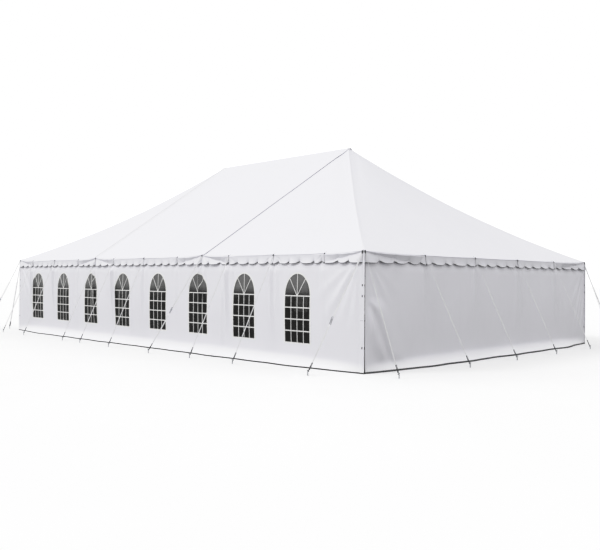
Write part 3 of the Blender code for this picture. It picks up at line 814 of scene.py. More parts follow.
ratchet, link, stake = ratchet_mesh(), link_mesh(), stake_mesh()
tabs, straps = bmesh.new(), bmesh.new()
tab_map, strap_map = tabs.loops.layers.uv.new("flat"), straps.loops.layers.uv.new("flat")
ratchet_places, link_places, stake_places, ring_lines = [], [], [], []
for number, (spot, edge, out, foot, long, flat_on, at_corner) in enumerate(guy_list()):
    across = out.cross(upward(1))
    lift = upward(TAB_THICK / 2 + TAB_LIFT)
    over = edge + out * TAB_OVER
    low = over - upward(CORNER_TAB_DOWN if at_corner else TAB_DOWN) + out * 0.001
    path = [edge.lerp(spot, share) + lift for share in TAB_FROM_EDGE]
    path += [edge + lift, over - upward(TAB_BEND), low]
    ways = [(b - a).normalized() for a, b in zip(path, path[1:])]
    ways = [ways[0]] + [(a + b).normalized() for a, b in zip(ways, ways[1:])] + [ways[-1]]
    ribbon(tabs, tab_map, path, [across] * len(path), [across.cross(way) for way in ways],
           CORNER_TAB_WIDTH if at_corner else TAB_WIDTH, TAB_THICK)
    if foot is None:
        continue
    start = low - upward(RING_BELOW_TAB) + out * TAB_RING_OUT
    wide = across * TAB_RING_HALF
    ring_lines.append([start + wide, start - wide, low + wide * 0.4, low - wide * 0.4, start + wide])
    away = Vector((start.x - foot.x, start.y - foot.y, 0)).normalized()
    hook = foot + upward(HOOK_HEIGHT) + away * STAKE_RADIUS
    up = (start - hook).normalized()
    length = (start - hook).length
    across = (across - up * across.dot(up)).normalized()
    turn = Matrix((across, up.cross(across), up)).transposed().to_4x4()
    link_places.append((link, Matrix.Translation(hook) @ turn))
    stake_places.append((stake, Matrix.Translation(foot) @ Matrix.Rotation(STAKE_TURN * number, 4, "Z")))
    strap_foot = hook + up * (HOOK_LENGTH - HOOK_LAP)
    runs = [(strap_foot, start)]
    if long:
        seat = hook + up * length * RATCHET_UP
        ratchet_places.append((ratchet, Matrix.Translation(seat) @ turn))
        runs = [(seat + up * RATCHET_LENGTH, start), (strap_foot, seat)]
    for low_end, high_end in runs:
        points, sides, normals = [], [], []
        for step in range(STRAP_STEPS + 1):
            part = step / STRAP_STEPS
            quarter = END_TWIST * smooth(*TWIST_FROM_TO, part) if flat_on else SIDE_TWIST
            twist = Matrix.Rotation(math.pi / 2 * quarter, 3, up)
            points.append(low_end.lerp(high_end, part) - upward(STRAP_SAG * 4 * part * (1 - part)))
            sides.append(twist @ across)
            normals.append(twist @ across.cross(up))
        ribbon(straps, strap_map, points, sides, normals,
               STRAP_WIDTH if long or flat_on else SIDE_STRAP_WIDTH, STRAP_THICK)
webbing_piece("eave_tabs", tabs, dark_webbing)
webbing_piece("guy_straps", straps, white_webbing)
merged("guy_ratchets", ratchet_places, [galvanised, white_webbing])
merged("guy_links", link_places, [dark_steel, white_webbing])
merged("ground_stakes", stake_places, [galvanised])
wire("guy_rings", ring_lines, TAB_RING_WIRE, dark_steel)

# Valance: a strip of roof cloth sewn under the eave's hem, its lower edge cut in wide scallops and
# bound; the binding is painted near-black and swells at one flank of each lobe, as painted shade for the
# shadow gap under the edge. It hangs free, so its lobes curl, and tight folds run down into it from corners
# and seams.
VALANCE_DROP, VALANCE_SEAM, SCALLOP_DEPTH = 0.175, 0.02, 0.042
LOBES = by_side(45, 22)
LOBE_PARTS = (0, 0.02, 0.05, 0.09, 0.14, 0.20, 0.28, 0.37, 0.46, 0.55, 0.64, 0.72, 0.79, 0.85, 0.90, 0.94,
              0.975)
VALANCE_ROWS = 18
VALANCE_FLARE, VALANCE_SWAY, LOBE_CURL = 0.008, 0.010, 0.046
LOBE_UNEVEN = 0.30
VALANCE_FROM_CORNER = 0.018
FOLD_REACH, FOLD_END = by_side(0.95, 1.55), 1.35
FOLD_RIDGE = by_side(0.036, 0.075)
FOLD_DEEP, FOLD_FLARE, FOLD_SHARP = 0.014, 0.016, 0.02
FOLD_TOP, FOLD_BELOW, FOLD_NEAR, FOLD_FAR = (0.0, 0.12), (0.0, 0.10), (0.0, 0.06), (FOLD_END, 0.75)
PIN_CREASE, PIN_CREASE_WIDTH, PIN_SPLAY, PIN_SPLAY_WIDTH = 0.005, 0.022, 0.006, 0.025
PIN_SPLAY_FROM, PIN_SPLAY_MORE = 0.03, 0.22
BINDING_RADIUS, FLANK_SHADOW, FLANK_SHADOW_WIDTH = 0.0034, 2.4, 0.09
FLANK_SHADOW_AT = by_side(0.10, 0.90)
LEAN_SEED = dict(zip(PLACES, (1, 2, 3, 4)))
LOBE_SEED = dict(zip(PLACES, (2.0, 6.0, 11.0, 15.0)))
# Painted shade: the valance is coloured darker than the roof cloth it is cut from, for the shade it hangs in
# under the eave
valance_vinyl = coated_cloth("valance_vinyl", (0.70, 0.697, 0.735), (0.67, 0.667, 0.705), 0.45)
shade_dark_binding = woven_trim("shade_dark_binding", 0.6, (0.07, 0.07, 0.074), (0.17, 0.17, 0.175), 7.0, 150.0, 0.0004)


def wander(x, y=0.0, z=0.0):
    """A smooth value from -1 to 1 that depends only on the place."""
    return noise.noise(Vector((x, y, z)))


def valance_out(side, along, share, mark):
    """How far out the strip hangs, at a share of the way down and a place along its lobes."""
    lean = wander(math.floor(mark) * 3.7, LEAN_SEED[side])
    belly = math.sin(math.pi * (mark % 1) ** (1.25 + 0.5 * lean)) ** 0.7
    out = EDGE_OUT - 0.002 + VALANCE_FLARE * share ** 1.3
    out += VALANCE_SWAY * share * wander(along * 1.9, 7.0 if side == "front" else 3.0)
    out += LOBE_CURL * share ** 2.5 * (belly - 0.35) * (1 + 0.6 * lean)
    for station in STRUCTURAL[side]:
        crease = abs(along - station) / FOLD_REACH[side]
        if crease < FOLD_END:
            if share < crease:
                ridge = FOLD_RIDGE[side]
                fold = smooth(*FOLD_TOP, share) * (ridge - (ridge + FOLD_DEEP) * share / crease)
            else:
                below = (share - crease) * VALANCE_DROP
                fold = FOLD_FLARE * smooth(*FOLD_BELOW, below) - FOLD_DEEP * math.exp(-below / FOLD_SHARP)
            out += fold * smooth(*FOLD_NEAR, crease) * smooth(*FOLD_FAR, crease)
    for pin in PINS[side][1:-1]:
        away = abs(along - pin)
        out -= PIN_CREASE * bell(away, PIN_CREASE_WIDTH) * smooth(0.0, 0.1, share)
        splayed = away - PIN_SPLAY_MORE * share - PIN_SPLAY_FROM
        out -= PIN_SPLAY * bell(splayed, PIN_SPLAY_WIDTH) * smooth(0.0, 0.3, share)
    return max(EDGE_OUT - 0.012, out)


def uneven(mark, count, seed):
    """Where a mark along the lobes falls, as their widths differ a little."""
    shift = LOBE_UNEVEN * wander(mark * 0.83, seed, 5.0)
    return mark + shift * smooth(0, 1.5, mark) * smooth(count, count - 1.5, mark)


valance_rows = {}
for side, count in LOBES.items():
    pitch = (LENGTHS[side] - 2 * VALANCE_FROM_CORNER) / count
    marks = [lobe + part for lobe in range(count) for part in LOBE_PARTS] + [count]
    rows = []
    for row in range(VALANCE_ROWS + 1):
        share = row / VALANCE_ROWS
        points = []
        for mark in marks:
            along = VALANCE_FROM_CORNER + uneven(mark, count, LOBE_SEED[side]) * pitch
            lobe = 1 - abs(2 * (mark % 1) - 1) ** 3.0
            if mark < 0.5 or mark > count - 0.5:
                lobe = 1.0
            top = eave_level(side, along) - 0.006
            low = EAVE - 0.008 - VALANCE_DROP + SCALLOP_DEPTH * (1 - lobe)
            out = valance_out(side, along, share, mark)
            points.append(on_side(side, along, out, top + (low - top) * share))
        rows.append(points)
    made = cloth("valance_%s_cloth" % side, rows[::-1], valance_vinyl, ["valance_" + side])
    # Painted shadow: the near-black binding swells at one flank of each lobe, where the shadow gap shows
    widths = [1 + FLANK_SHADOW * bell(mark % 1 - FLANK_SHADOW_AT[side], FLANK_SHADOW_WIDTH) for mark in marks]
    wire("valance_%s_binding" % side, [rows[-1]], BINDING_RADIUS, shade_dark_binding, sides=1,
         widths=widths)
    valance_rows[side] = rows

# Valance ties: a thin cord that hangs down the valance's face from each pin between corners and seams.
# It is knotted at the valance's lower edge.
TIE_CORD, TIE_KNOT, KNOT_ABOVE, KNOT_BELOW = 0.0032, 0.008, 0.018, 0.012
tie_cord = woven_trim("tie_cord", 0.7, (0.42, 0.42, 0.43), (0.52, 0.52, 0.53), 8.0, 170.0, 0.0003)
cord_lines, knot_lines = [], []
for side, rows in valance_rows.items():
    for pin in PINS[side][1:-1]:
        if pin in STRUCTURAL[side]:
            continue
        nearest = min(range(len(rows[0])), key=lambda n: abs(from_side(side, rows[0][n]).x - pin))
        before_cloth = Vector((0, TIE_CORD, 0))
        hanging = [PLACES[side] @ (from_side(side, row[nearest]) + before_cloth) for row in rows]
        cord_lines.append(hanging)
        knot_lines.append([hanging[-1] + upward(KNOT_ABOVE), hanging[-1] - upward(KNOT_BELOW)])
wire("tie_cords", cord_lines, TIE_CORD, tie_cord, sides=1)
wire("tie_knots", knot_lines, TIE_KNOT, dark_webbing, sides=1)

# Sidewall rope: white polyester rope that runs from pole to pole under the eave, round all sides.
# The walls hang from it.
ROPE_HEIGHT, ROPE_RADIUS, ROPE_AXIS, ROPE_CLEAR, ROPE_STEP = 2.10, 0.005, -0.0113, 0.045, 0.1
rope_lines = []
for side, stops in STRUCTURAL.items():
    for first, last in zip(stops, stops[1:]):
        rope_lines.append([on_side(side, along, ROPE_AXIS, ROPE_HEIGHT)
                           for along in spaced(first + ROPE_CLEAR, last - ROPE_CLEAR, ROPE_STEP)])
wire("sidewall_rope", rope_lines, ROPE_RADIUS, white_webbing)

# Walls: lighter coated polyester hung inside the valance, in panels lapped at their joints. They
# fold a little under each pole and from the corners' ties, and their skirt spreads on the ground.
WALL_TOP, WALL_LOW, WALL_FACE = EAVE - 0.0085, 0.014, -0.003
LONG_WALL_FROM_CORNER, END_WALL_FROM_CORNER = -0.030, 0.032
WRAP_OUT, WRAP_FROM, WRAP_TO = 0.016, 0.085, 0.03
WALL_STEP, WALL_RISE = 0.032, 0.045
WALL_FOOT_LEVELS, WALL_EDGES = (0.022, 0.035, 0.055), (0.0, 0.012, 0.025)
WALL_SEED = dict(zip(PLACES, (1.0, 5.0, 9.0, 13.0)))
SKIRT_HIGH, SKIRT_OUT, END_SKIRT_OUT, SKIRT_TAPER, SKIRT_UNEVEN = 0.205, 0.22, 0.25, 1.7, 0.30
LAP, LAP_LIFT = 0.05, 0.006
WINDOW_FIRST, WINDOW_PITCH, WINDOW_COUNT = 5.27 * FOOT, 5.07 * FOOT, 8
CUT_FROM_TO = (-0.1, 0.15)
WINDOW_WIDTH, WINDOW_SILL, WINDOW_SPRING, WINDOW_TOP = 0.66, 0.44, 1.33, 1.755
PANEL_WINDOWS, PANEL_GAP = (2, 4, 2), 0.0005
BROAD_FOLD, FINE_FOLD, SWELL = 0.012, 0.005, 0.016
CORNER_FOLDS, CORNER_FOLD_WIDTH = ((9, 0.020), (20, 0.027), (35, 0.031), (52, 0.014)), 4.5
CORNER_FOLDS_FROM, CORNER_FOLDS_TO, END_CORNER_SHARE = (0.04, 0.35), (1.7, 0.7), 0.6
POLE_FOLD, END_POLE_SHARE, FIRST_POLE_SHARE, THIRD_POLE_SHARE = 0.046, 0.35, 0.4, 1.6
POLE_FOLD_FADE, POLE_FOLD_LEAN = (0.25, 1.6), 0.05
AFTER_PIN, AFTER_WIDTH, BEFORE_PIN, BEFORE_WIDTH = 0.085, 0.055, 0.07, 0.05
LOOSE_FOLDS, LOOSE_WIDTH = ((3.83, 0.026), (7.35, 0.020), (10.6, 0.024), (12.9, 0.016)), 0.045
LOOSE_LOW, LOOSE_HIGH = (0.15, 0.5), (1.95, 1.3)
JOINT_SLIT_HIGH, JOINT_SLIT_WIDE, JOINT_SLIT_REACH = 0.24, 0.040, 0.25
CORNER_PARTED, CORNER_PARTED_REACH = 0.012, 0.3
DRAPE_LINE = ((0.02, 1.36), (0.26, 1.09), (0.38, 0.92), (0.53, 0.64), (0.70, 0.34), (0.88, 0.05))
DRAPE_SLANT, NO_DRAPE, DRAPE_TOP_FADE = 0.86, 9.0, 0.22
DRAPE_FROM_CORNER, DRAPE_FROM_FOOT = (0.0, 0.10), (0.02, 0.3)
DRAPE_BAND, BAND_FROM_LINE, BAND_WIDTH, BAND_FROM_FOOT = 0.072, 0.23, 0.12, (0.05, 0.5)
DRAPE_CREASE, CREASE_RISE, CREASE_FALL = 0.050, (-0.02, 0.045), (0.50, 0.05)
FAN_DEPTH, FAN_FOLDS, FAN_DOWN, FAN_REACH, FAN_FROM_FOOT = 0.010, 60, 0.3, (0.9, 0.2), (0.1, 0.8)
EDGE_STILL, TOP_STILL = (0.02, 0.16), (EAVE - VALANCE_DROP + 0.02, EAVE - VALANCE_DROP - 0.16)
# The foot colour is painted light: paler towards the ground, for the sky light on the spread skirt
wall_vinyl = coated_cloth("wall_vinyl", (0.74, 0.735, 0.775), (0.71, 0.705, 0.745), 0.48,
                          foot=(0.90, 0.897, 0.92))


def drape_offset(away, up):
    """Signed distance from the long drape that falls from a corner's tie; positive above it."""
    if up >= DRAPE_LINE[0][1] or up <= DRAPE_LINE[-1][1]:
        return NO_DRAPE
    for (a, high), (b, low) in zip(DRAPE_LINE, DRAPE_LINE[1:]):
        if up >= low:
            line = a + (b - a) * (high - up) / (high - low)
            return (away - line) * DRAPE_SLANT
    return NO_DRAPE


def pole_folds(side, along, up):
    """Upright folds that fall from each pin, deeper as the next corner or seam comes near."""
    seed = WALL_SEED[side]
    fade = smooth(*POLE_FOLD_FADE, up)
    folds = 0.0
    for pin in PINS[side][1:-1]:
        away = along - pin + POLE_FOLD_LEAN * (2.1 - up)
        depth = POLE_FOLD * (END_POLE_SHARE if side in ENDS else 1.0) * (1 + 0.6 * wander(pin, seed, 3.0))
        if is_pole(side, pin, 0):
            depth *= FIRST_POLE_SHARE
        elif is_pole(side, pin, 2):
            depth *= THIRD_POLE_SHARE
        pair = bell(away - AFTER_PIN, AFTER_WIDTH) + 0.5 * bell(away + BEFORE_PIN, BEFORE_WIDTH)
        folds += depth * pair * fade
    return folds


def drape(away, up):
    """The long drape near a corner: a smooth band below its line, and a crease along it."""
    offset = drape_offset(away, up)
    strength = smooth(*DRAPE_FROM_CORNER, away) * smooth(*DRAPE_FROM_FOOT, up)
    strength *= smooth(DRAPE_LINE[0][1], DRAPE_LINE[0][1] - DRAPE_TOP_FADE, up)
    band = DRAPE_BAND * bell(offset + BAND_FROM_LINE, BAND_WIDTH) * smooth(*BAND_FROM_FOOT, up)
    crease = DRAPE_CREASE * smooth(*CREASE_RISE, offset) * smooth(*CREASE_FALL, offset)
    return strength * (band + crease)


def wall_out(side, along, up):
    """How far the cloth stands out from the wall's plane."""
    length, seed, ends = LENGTHS[side], WALL_SEED[side], side in ENDS
    near = min(along, length - along)
    folds = BROAD_FOLD * (1 + wander(along * 2.1, up * 0.45, seed))
    folds += FINE_FOLD * (1 + wander(along * 6.0, up * 0.9, seed + 2)) * smooth(0.1, 0.9, up)
    folds += pole_folds(side, along, up)
    if not ends:
        for place, depth in LOOSE_FOLDS:
            away = along - place - 0.03 * math.sin(up * 2.2)
            folds += depth * bell(away, LOOSE_WIDTH) * smooth(*LOOSE_LOW, up) * smooth(*LOOSE_HIGH, up)
    swell = SWELL * math.sin(math.pi * min(1.0, up / 2.1)) ** 2
    swell *= 1 + 0.6 * wander(along * 0.5, seed, 1.0)
    drop = WALL_TOP - up
    angle = math.degrees(math.atan2(near - 0.03, drop + 0.02))
    spread = math.hypot(near, drop)
    pulled = 0.0
    for toward, deep in CORNER_FOLDS:
        pulled += deep * bell(angle - toward, CORNER_FOLD_WIDTH) * smooth(*CORNER_FOLDS_FROM, spread)
    pulled *= smooth(*CORNER_FOLDS_TO, spread) * (END_CORNER_SHARE if ends else 1.0)
    if ends:
        pulled += drape(length - along, up)
        fan = 1 + math.sin(math.atan2(along, drop + FAN_DOWN) * FAN_FOLDS)
        pulled += FAN_DEPTH * fan * smooth(*FAN_REACH, along) * smooth(*FAN_FROM_FOOT, up)
    skirt = (END_SKIRT_OUT if ends else SKIRT_OUT) * smooth(SKIRT_HIGH, -0.05, up)
    skirt *= 1 + SKIRT_UNEVEN * wander(along * 1.1, seed + 4)
    skirt *= min(1.0, near / SKIRT_TAPER)
    wrap = WRAP_OUT * smooth(WRAP_FROM, WRAP_TO, near)
    moved = max(0.0, (folds + swell + pulled) * smooth(*TOP_STILL, up)) * smooth(*EDGE_STILL, near)
    return WALL_FACE + moved + skirt + wrap


def arch_outline(centre, steps=12, grow=0.0):
    """A window's outline: straight sides and a tall round head."""
    half = WINDOW_WIDTH / 2
    rise = WINDOW_TOP - WINDOW_SPRING
    arc = []
    for step in range(steps):
        angle = math.pi / 2 * step / steps
        arc.append(((half + grow) * math.cos(angle), WINDOW_SPRING + (rise + grow) * math.sin(angle)))
    left = [(-x, z) for x, z in reversed(arc)]
    corner = half + grow
    outline = [(-corner, WINDOW_SILL - grow), (corner, WINDOW_SILL - grow), *arc,
               (0, WINDOW_TOP + grow), *left]
    return [(centre + x, z) for x, z in outline]


def window_cutter(side, centres):
    """Prisms through the wall, one for each window."""
    shape = bmesh.new()
    for centre in centres:
        outline = arch_outline(centre)
        prism(shape, *[[on_side(side, x, out, z) for x, z in outline] for out in CUT_FROM_TO])
    return placed("window_cutter", mesh_from("cutter", shape))


def wall_panel(name, side, first, last, windows, joined):
    """One hung panel; joined says which of its two edges lie at a joint with the next panel."""
    ups = [WALL_LOW, *WALL_FOOT_LEVELS] + spaced(0.08, WALL_TOP, WALL_RISE)
    lapped = last + (LAP if joined[1] else 0.0)
    columns = [first + e for e in WALL_EDGES] + spaced(first + 0.04, lapped - 0.04, WALL_STEP)
    columns += [lapped - e for e in WALL_EDGES[::-1]]
    rows = []
    for up in ups:
        slit = JOINT_SLIT_WIDE * max(0.0, 1 - up / JOINT_SLIT_HIGH)
        parted = CORNER_PARTED * smooth(0.5, 0.0, up) if side in ENDS else 0.0
        row = []
        for along in columns:
            moved, out = along, wall_out(side, along, up)
            if joined[0]:
                moved += slit * smooth(JOINT_SLIT_REACH, 0.0, along - first)
            else:
                moved += parted * smooth(CORNER_PARTED_REACH, 0.0, along - first)
            if joined[1]:
                moved -= slit * smooth(JOINT_SLIT_REACH, 0.0, lapped - along)
                out += LAP_LIFT * smooth(2.2 * LAP, 0.6 * LAP, lapped - along)
            else:
                moved -= parted * smooth(CORNER_PARTED_REACH, 0.0, lapped - along)
            row.append(on_side(side, moved, out, up))
        rows.append(row)
    made = cloth("wall_%s_cloth" % name, rows, wall_vinyl, ["wall_" + name])
    width, height = lapped - first, WALL_TOP - WALL_LOW
    area = width * height
    if windows:
        cutter = window_cutter(side, windows)
        cut = made.modifiers.new("windows", "BOOLEAN")
        cut.object = cutter
        settle(made)
        bpy.data.objects.remove(cutter)
        head_area = math.pi / 4 * (WINDOW_TOP - WINDOW_SPRING)
        area -= len(windows) * WINDOW_WIDTH * (WINDOW_SPRING - WINDOW_SILL + head_area)
    return rows


wall_edges = []
window_centres = [WINDOW_FIRST + n * WINDOW_PITCH for n in range(WINDOW_COUNT)]
window_sets = []
for side, names in ROW_NAMES.items():
    first = LONG_WALL_FROM_CORNER
    done = 0
    for name, count in zip(names, PANEL_WINDOWS):
        windows = window_centres[done:done + count]
        joined = (done > 0, done + count < WINDOW_COUNT)
        done += count
        last = windows[-1] + WINDOW_PITCH / 2 if joined[1] else LENGTH - LONG_WALL_FROM_CORNER
        rows = wall_panel("%s_%s" % (side, name), side, first, last, windows, joined)
        wall_edges += [rows[0], rows[-1]]
        window_sets.append((side, name, windows))
        first = last + PANEL_GAP
for side in ("right", "left"):
    rows = wall_panel(side + "_end", side, END_WALL_FROM_CORNER, WIDTH - END_WALL_FROM_CORNER, [],
                      (False, False))
    wall_edges += [rows[0], rows[-1]]

# Wall hems: an edge rope sewn into the foot of each wall, painted near-black and thicker on the ends, as
# painted shade for the contact shadow along the foot.
# The top edge is a thin roll of the wall's own cloth.
FOOT_HEMS = (("wall_foot_hems", 0.0135, -0.001, wall_edges[:-4:2]),
             ("end_foot_hems", 0.0165, 0.002, wall_edges[-4::2]))
TOP_HEM_RADIUS = 0.004
# Painted shade: the hem rope is near-black, for the contact shadow along each wall's foot
shade_dark_hem_rope = woven_trim("shade_dark_hem_rope", 0.8, (0.05, 0.05, 0.052), (0.11, 0.11, 0.112), 6.0, 90.0, 0.0006)
for name, radius, lift, edges in FOOT_HEMS:
    wire(name, [[p + upward(lift) for p in row] for row in edges], radius, shade_dark_hem_rope, sides=1)
wire("wall_top_hems", wall_edges[1::2], TOP_HEM_RADIUS, wall_vinyl, sides=1)

# Windows: one sheet of clear vinyl welded behind each arched opening, with white glazing bars of
# opaque vinyl welded on its face: four columns and four rows of panes, and a fan in the head. A
# white border is welded round each opening.
PANE_BEHIND, PANE_MARGIN, PANE_STEP, PANE_PARTS = 0.004, 0.03, 0.06, 0.125
PANE_ALPHA, PANE_PAINTED_SHADE, PANE_PAINTED_LIGHT = 0.86, (0.012, 0.012, 0.011), (0.17, 0.17, 0.17)
BAR_WIDTH, UPRIGHT_WIDTH, BAR_THICK, BAR_PAST = 0.021, 0.014, 0.003, 0.01
BAR_PROFILE = ((-1, 0), (-0.85, 1), (0.85, 1), (1, 0))
BORDER_PROFILE = ((-0.004, -0.002), (-0.004, 0.0016), (0.026, 0.0016), (0.026, -0.0005))
FAN_ANGLE = math.radians(32)
# The clear vinyl is painted near-black and mostly opaque: painted shade for the dark inside. In the head it
# is painted lighter grey, in random clouds: painted light for what shows through there.
clear_vinyl, tree, shader = finish("clear_vinyl", 0.09, specular=0.25)
place = position(tree)
height = node(tree, "SeparateXYZ", {"Vector": place}).outputs["Z"]
head = node(tree, "MapRange", {"Value": height, "From Min": WINDOW_SPRING + 0.02,
                               "From Max": WINDOW_SPRING + 0.16}).outputs[0]
head_light_clouds = use(tree, clouds, place=place, scale=3.0, low=0.3, high=0.75)["Mask"]
head_light_clouds = node(tree, "MapRange", {"Value": head_light_clouds, "To Min": 0.55, "To Max": 1.0}).outputs[0]
tree.links.new(blend(tree, maths(tree, "MULTIPLY", head, head_light_clouds), PANE_PAINTED_SHADE, PANE_PAINTED_LIGHT),
               shader.inputs["Base Color"])
shader.inputs["Alpha"].default_value = PANE_ALPHA
relief(tree, shader, use(tree, clouds, place=place, scale=2.2)["Mask"], 0.004, 0.5)
bar_vinyl = woven_trim("bar_vinyl", 0.5, (0.78, 0.78, 0.77), (0.72, 0.72, 0.71), 12.0, 190.0, 0.0003, 0.5,
                       specular=0.3)


def window_spot(side, along, up, behind):
    """A place on the glazing, which follows the wall's own shape."""
    return on_side(side, along, wall_out(side, along, up) - behind, up)


def pane_sheet(shape, flat, side, centre):
    """Clear sheet behind one opening, cut round with the arch."""
    right = arch_outline(centre, 12, PANE_MARGIN)[3:15]
    levels = spaced(WINDOW_SILL - PANE_MARGIN, WINDOW_SPRING, PANE_STEP) + [z for x, z in right]
    half_at = {z: WINDOW_WIDTH / 2 + PANE_MARGIN for z in levels}
    half_at.update({z: max(0.012, x - centre) for x, z in right})
    parts = spaced(-1, 1, PANE_PARTS)
    grid = []
    for z in levels:
        grid.append([shape.verts.new(window_spot(side, centre + half_at[z] * part, z, PANE_BEHIND))
                     for part in parts])
    sheet_faces(shape, flat, grid, lambda r, c: (centre + half_at[levels[r]] * parts[c], levels[r]))


def head_half_width(up):
    """Half the opening's width at a height in its head."""
    part = min(1.0, (up - WINDOW_SPRING) / (WINDOW_TOP - WINDOW_SPRING))
    return WINDOW_WIDTH / 2 * math.sqrt(1 - part ** 2)


def glazing_bar(shape, side, start, end, width=BAR_WIDTH):
    """A flat bar between two places on the glazing."""
    run = Vector(end) - Vector(start)
    across = Vector((-run.y, run.x)).normalized() * width / 2
    rings = []
    for part in spaced(0, 1, 0.05 / run.length):
        middle = Vector(start).lerp(Vector(end), part)
        ring = []
        for sign, depth in BAR_PROFILE:
            spot = middle + across * sign
            behind = PANE_BEHIND - 0.0005 - BAR_THICK * depth
            ring.append(shape.verts.new(window_spot(side, spot.x, spot.y, behind)))
        rings.append(ring)
    for a, b in zip(rings, rings[1:]):
        for k in range(3):
            shape.faces.new((a[k], a[k + 1], b[k + 1], b[k]))
    shape.faces.new(rings[0])
    shape.faces.new(rings[-1][::-1])


def window_border(shape, side, centre):
    """A flat band round one opening, on the wall's face."""
    rings = []
    for grow, lift in BORDER_PROFILE:
        ring = []
        for x, z in fine_outline(arch_outline(centre, 16, grow)):
            ring.append(shape.verts.new(window_spot(side, x, z, -lift)))
        rings.append(ring)
    for a, b in zip(rings, rings[1:]):
        for k in range(len(a)):
            shape.faces.new((a[k - 1], a[k], b[k], b[k - 1]))


def fine_outline(outline):
    """The same outline with every long side cut in equal short ones."""
    made = []
    pieces = [1 if 2 < n < len(outline) - 1 else 12 for n in range(len(outline))]
    for (start, end), count in zip(zip(outline, outline[1:] + outline[:1]), pieces):
        for part in range(count):
            made.append(tuple(Vector(start).lerp(Vector(end), part / count)))
    return made


for side, name, windows in window_sets:
    panes, bars = bmesh.new(), bmesh.new()
    flat = panes.loops.layers.uv.new("flat")
    for centre in windows:
        pane_sheet(panes, flat, side, centre)
        half = WINDOW_WIDTH / 2
        for column in (-0.5, 0, 0.5):
            x = centre + half * column
            glazing_bar(bars, side, (x, WINDOW_SILL - BAR_PAST), (x, WINDOW_SPRING), UPRIGHT_WIDTH)
        for row in range(1, 5):
            z = WINDOW_SILL + (WINDOW_SPRING - WINDOW_SILL) * row / 4
            glazing_bar(bars, side, (centre - half - BAR_PAST, z), (centre + half + BAR_PAST, z))
        glazing_bar(bars, side, (centre, WINDOW_SPRING), (centre, WINDOW_TOP + 0.005), UPRIGHT_WIDTH)
        for sign in (-1, 1):
            reach = 0.05
            while reach * math.sin(FAN_ANGLE) < head_half_width(WINDOW_SPRING + reach * math.cos(FAN_ANGLE)):
                reach += 0.005
            tip = (centre + sign * reach * math.sin(FAN_ANGLE), WINDOW_SPRING + reach * math.cos(FAN_ANGLE))
            glazing_bar(bars, side, (centre, WINDOW_SPRING), tip, UPRIGHT_WIDTH)
        window_border(bars, side, centre)
    mesh = mesh_of("panes", panes)
    mesh.shade_smooth()
    made = piece_of("window_%s_%s_panes" % (side, name), mesh, [clear_vinyl],
                    ["window_%s_%s" % (side, name)])
    barred = piece_of("window_%s_%s_bars" % (side, name), mesh_from("bars", bars), [bar_vinyl])
    height = WINDOW_TOP - WINDOW_SILL + 2 * PANE_MARGIN

# Corner ties: dark cord laced through the walls' edges and wound round each corner pole.
# It is wound five times at three heights, and once at the other, where its ends reach further.
TIE_RADIUS, TIE_GAP, TIE_LAY, TIE_SAG = 0.0035, 0.0005, 2.1, 0.004
TIES = ((1.55, 5, 0.024), (1.36, 5, 0.024), (0.93, 1, 0.060), (0.45, 5, 0.024))
TIE_STEPS, TIE_PROUD = 20, 0.014
tie_lines = []
for side in PLACES:
    centre = on_side(side, -CORNER_AXIS, CORNER_AXIS, 0)
    for height, turns, far in TIES:
        loop = []
        for step in range(turns * TIE_STEPS + 1):
            angle = 2 * math.pi * step / TIE_STEPS
            rise = (step / TIE_STEPS - turns / 2) * TIE_RADIUS * TIE_LAY
            reach = POLE_RADIUS + TIE_RADIUS + TIE_GAP
            loop.append(centre + Vector((reach * math.cos(angle), reach * math.sin(angle), height + rise)))
        tie_lines.append(loop)
        for along, out in ((far, TIE_PROUD), (-TIE_PROUD, -far)):
            edge = on_side(side, along, out, height)
            near = centre + (edge - centre).normalized() * (POLE_RADIUS + TIE_RADIUS)
            near.z = height
            tie_lines.append([near, near.lerp(edge, 0.5) + upward(TIE_SAG), edge])
wire("corner_ties", tie_lines, TIE_RADIUS, dark_webbing, sides=1)

# Ground, light and camera: a plain pale floor under a bright, nearly even sky, with one broad soft
# light from above the front's left, and the camera at eye level off the near corner.
SKY, SKY_SHOWN, SKY_LEAN = 0.95, 1.3, 0.22
KEY_STRENGTH, KEY_ANGLE = 0.78, 14
KEY_FROM = Vector((-0.40, -0.72, 0.60))
TONES = ((0, 0), (0.15, 0.165), (0.452, 0.515), (0.638, 0.730), (0.787, 0.844), (0.90, 0.891), (1.0, 0.940),
         (1.09, 0.997), (1.3, 1.0))
FLOOR_SIZE = 400.0
CAMERA_PLACE = (14.870, -14.261, 1.654)
CAMERA_TURN, CAMERA_TILT, CAMERA_ROLL = 44.66, 0.31, 0.49
CAMERA_LENS = 43.02
FLOOR_PALE, FLOOR_CLEAN, FLOOR_UNSEEN = (0.98, 0.98, 0.98), (0.99, 0.99, 0.99), (0.30, 0.30, 0.30)
floor_paint, tree, shader = finish("floor_paint", 0.9, specular=0.0)
seen = node(tree, "LightPath").outputs["Is Camera Ray"]
pale = blend(tree, use(tree, clouds, place=position(tree), scale=0.4)["Mask"], FLOOR_PALE, FLOOR_CLEAN)
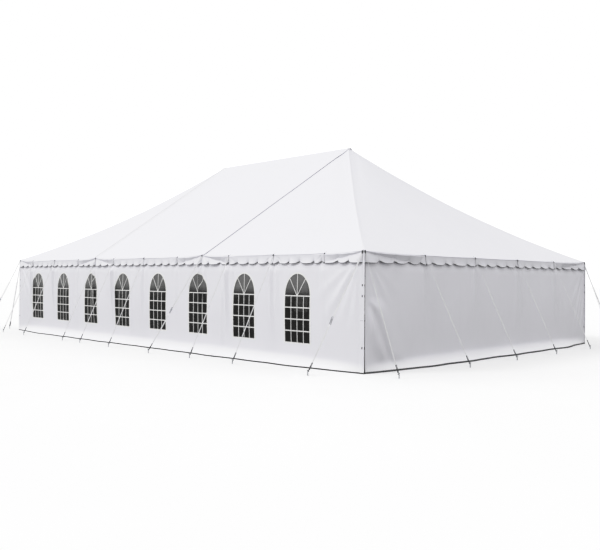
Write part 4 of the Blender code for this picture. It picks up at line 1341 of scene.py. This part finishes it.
tree.links.new(blend(tree, seen, FLOOR_UNSEEN, pale), shader.inputs["Base Color"])
shape = bmesh.new()
bmesh.ops.create_grid(shape, x_segments=8, y_segments=8, size=FLOOR_SIZE / 2)
floor = placed("floor", mesh_of("floor", shape))
floor.data.materials.append(floor_paint)

world = bpy.data.worlds.new("studio")
bpy.context.scene.world = world
world.use_nodes = True
tree = world.node_tree
tree.nodes.clear()
facing = node(tree, "SeparateXYZ", {"Vector": node(tree, "TexCoord").outputs["Generated"]})
leaning = maths(tree, "MULTIPLY_ADD", facing.outputs["Y"], -SKY * SKY_LEAN, SKY)
lit = node(tree, "Background", {"Color": (1, 1, 1, 1), "Strength": leaning})
shown = node(tree, "Background", {"Color": (1, 1, 1, 1), "Strength": SKY_SHOWN})
seen = node(tree, "LightPath").outputs["Is Camera Ray"]
mixed = node(tree, "MixShader", {0: seen, 1: lit.outputs[0], 2: shown.outputs[0]})
node(tree, "OutputWorld", {"Surface": mixed.outputs[0]})

key = bpy.data.lights.new("key", "SUN")
key.energy = KEY_STRENGTH
key.angle = math.radians(KEY_ANGLE)
lamp = placed("key", key)
lamp.rotation_mode = "QUATERNION"
lamp.rotation_quaternion = KEY_FROM.to_track_quat("Z", "Y")

lens = bpy.data.cameras.new("camera")
lens.lens = CAMERA_LENS
lens.sensor_width = 36
camera = placed("camera", lens)
camera.matrix_world = (
    Matrix.Translation(CAMERA_PLACE)
    @ Matrix.Rotation(math.radians(CAMERA_TURN), 4, "Z")
    @ Matrix.Rotation(math.radians(90 + CAMERA_TILT), 4, "X")
    @ Matrix.Rotation(math.radians(CAMERA_ROLL), 4, "Z"))
bpy.context.scene.camera = camera
bpy.context.scene.view_settings.view_transform = "Standard"

# A soft shoulder in the pale tones, as film has
bpy.context.scene.view_settings.use_curve_mapping = True
tones = bpy.context.scene.view_settings.curve_mapping
tones.clip_max_x, tones.clip_max_y = TONES[-1]
curve = tones.curves[3]
for point, place in zip(curve.points, (TONES[0], TONES[-1])):
    point.location = place
for place in TONES[1:-1]:
    curve.points.new(*place)
tones.update()
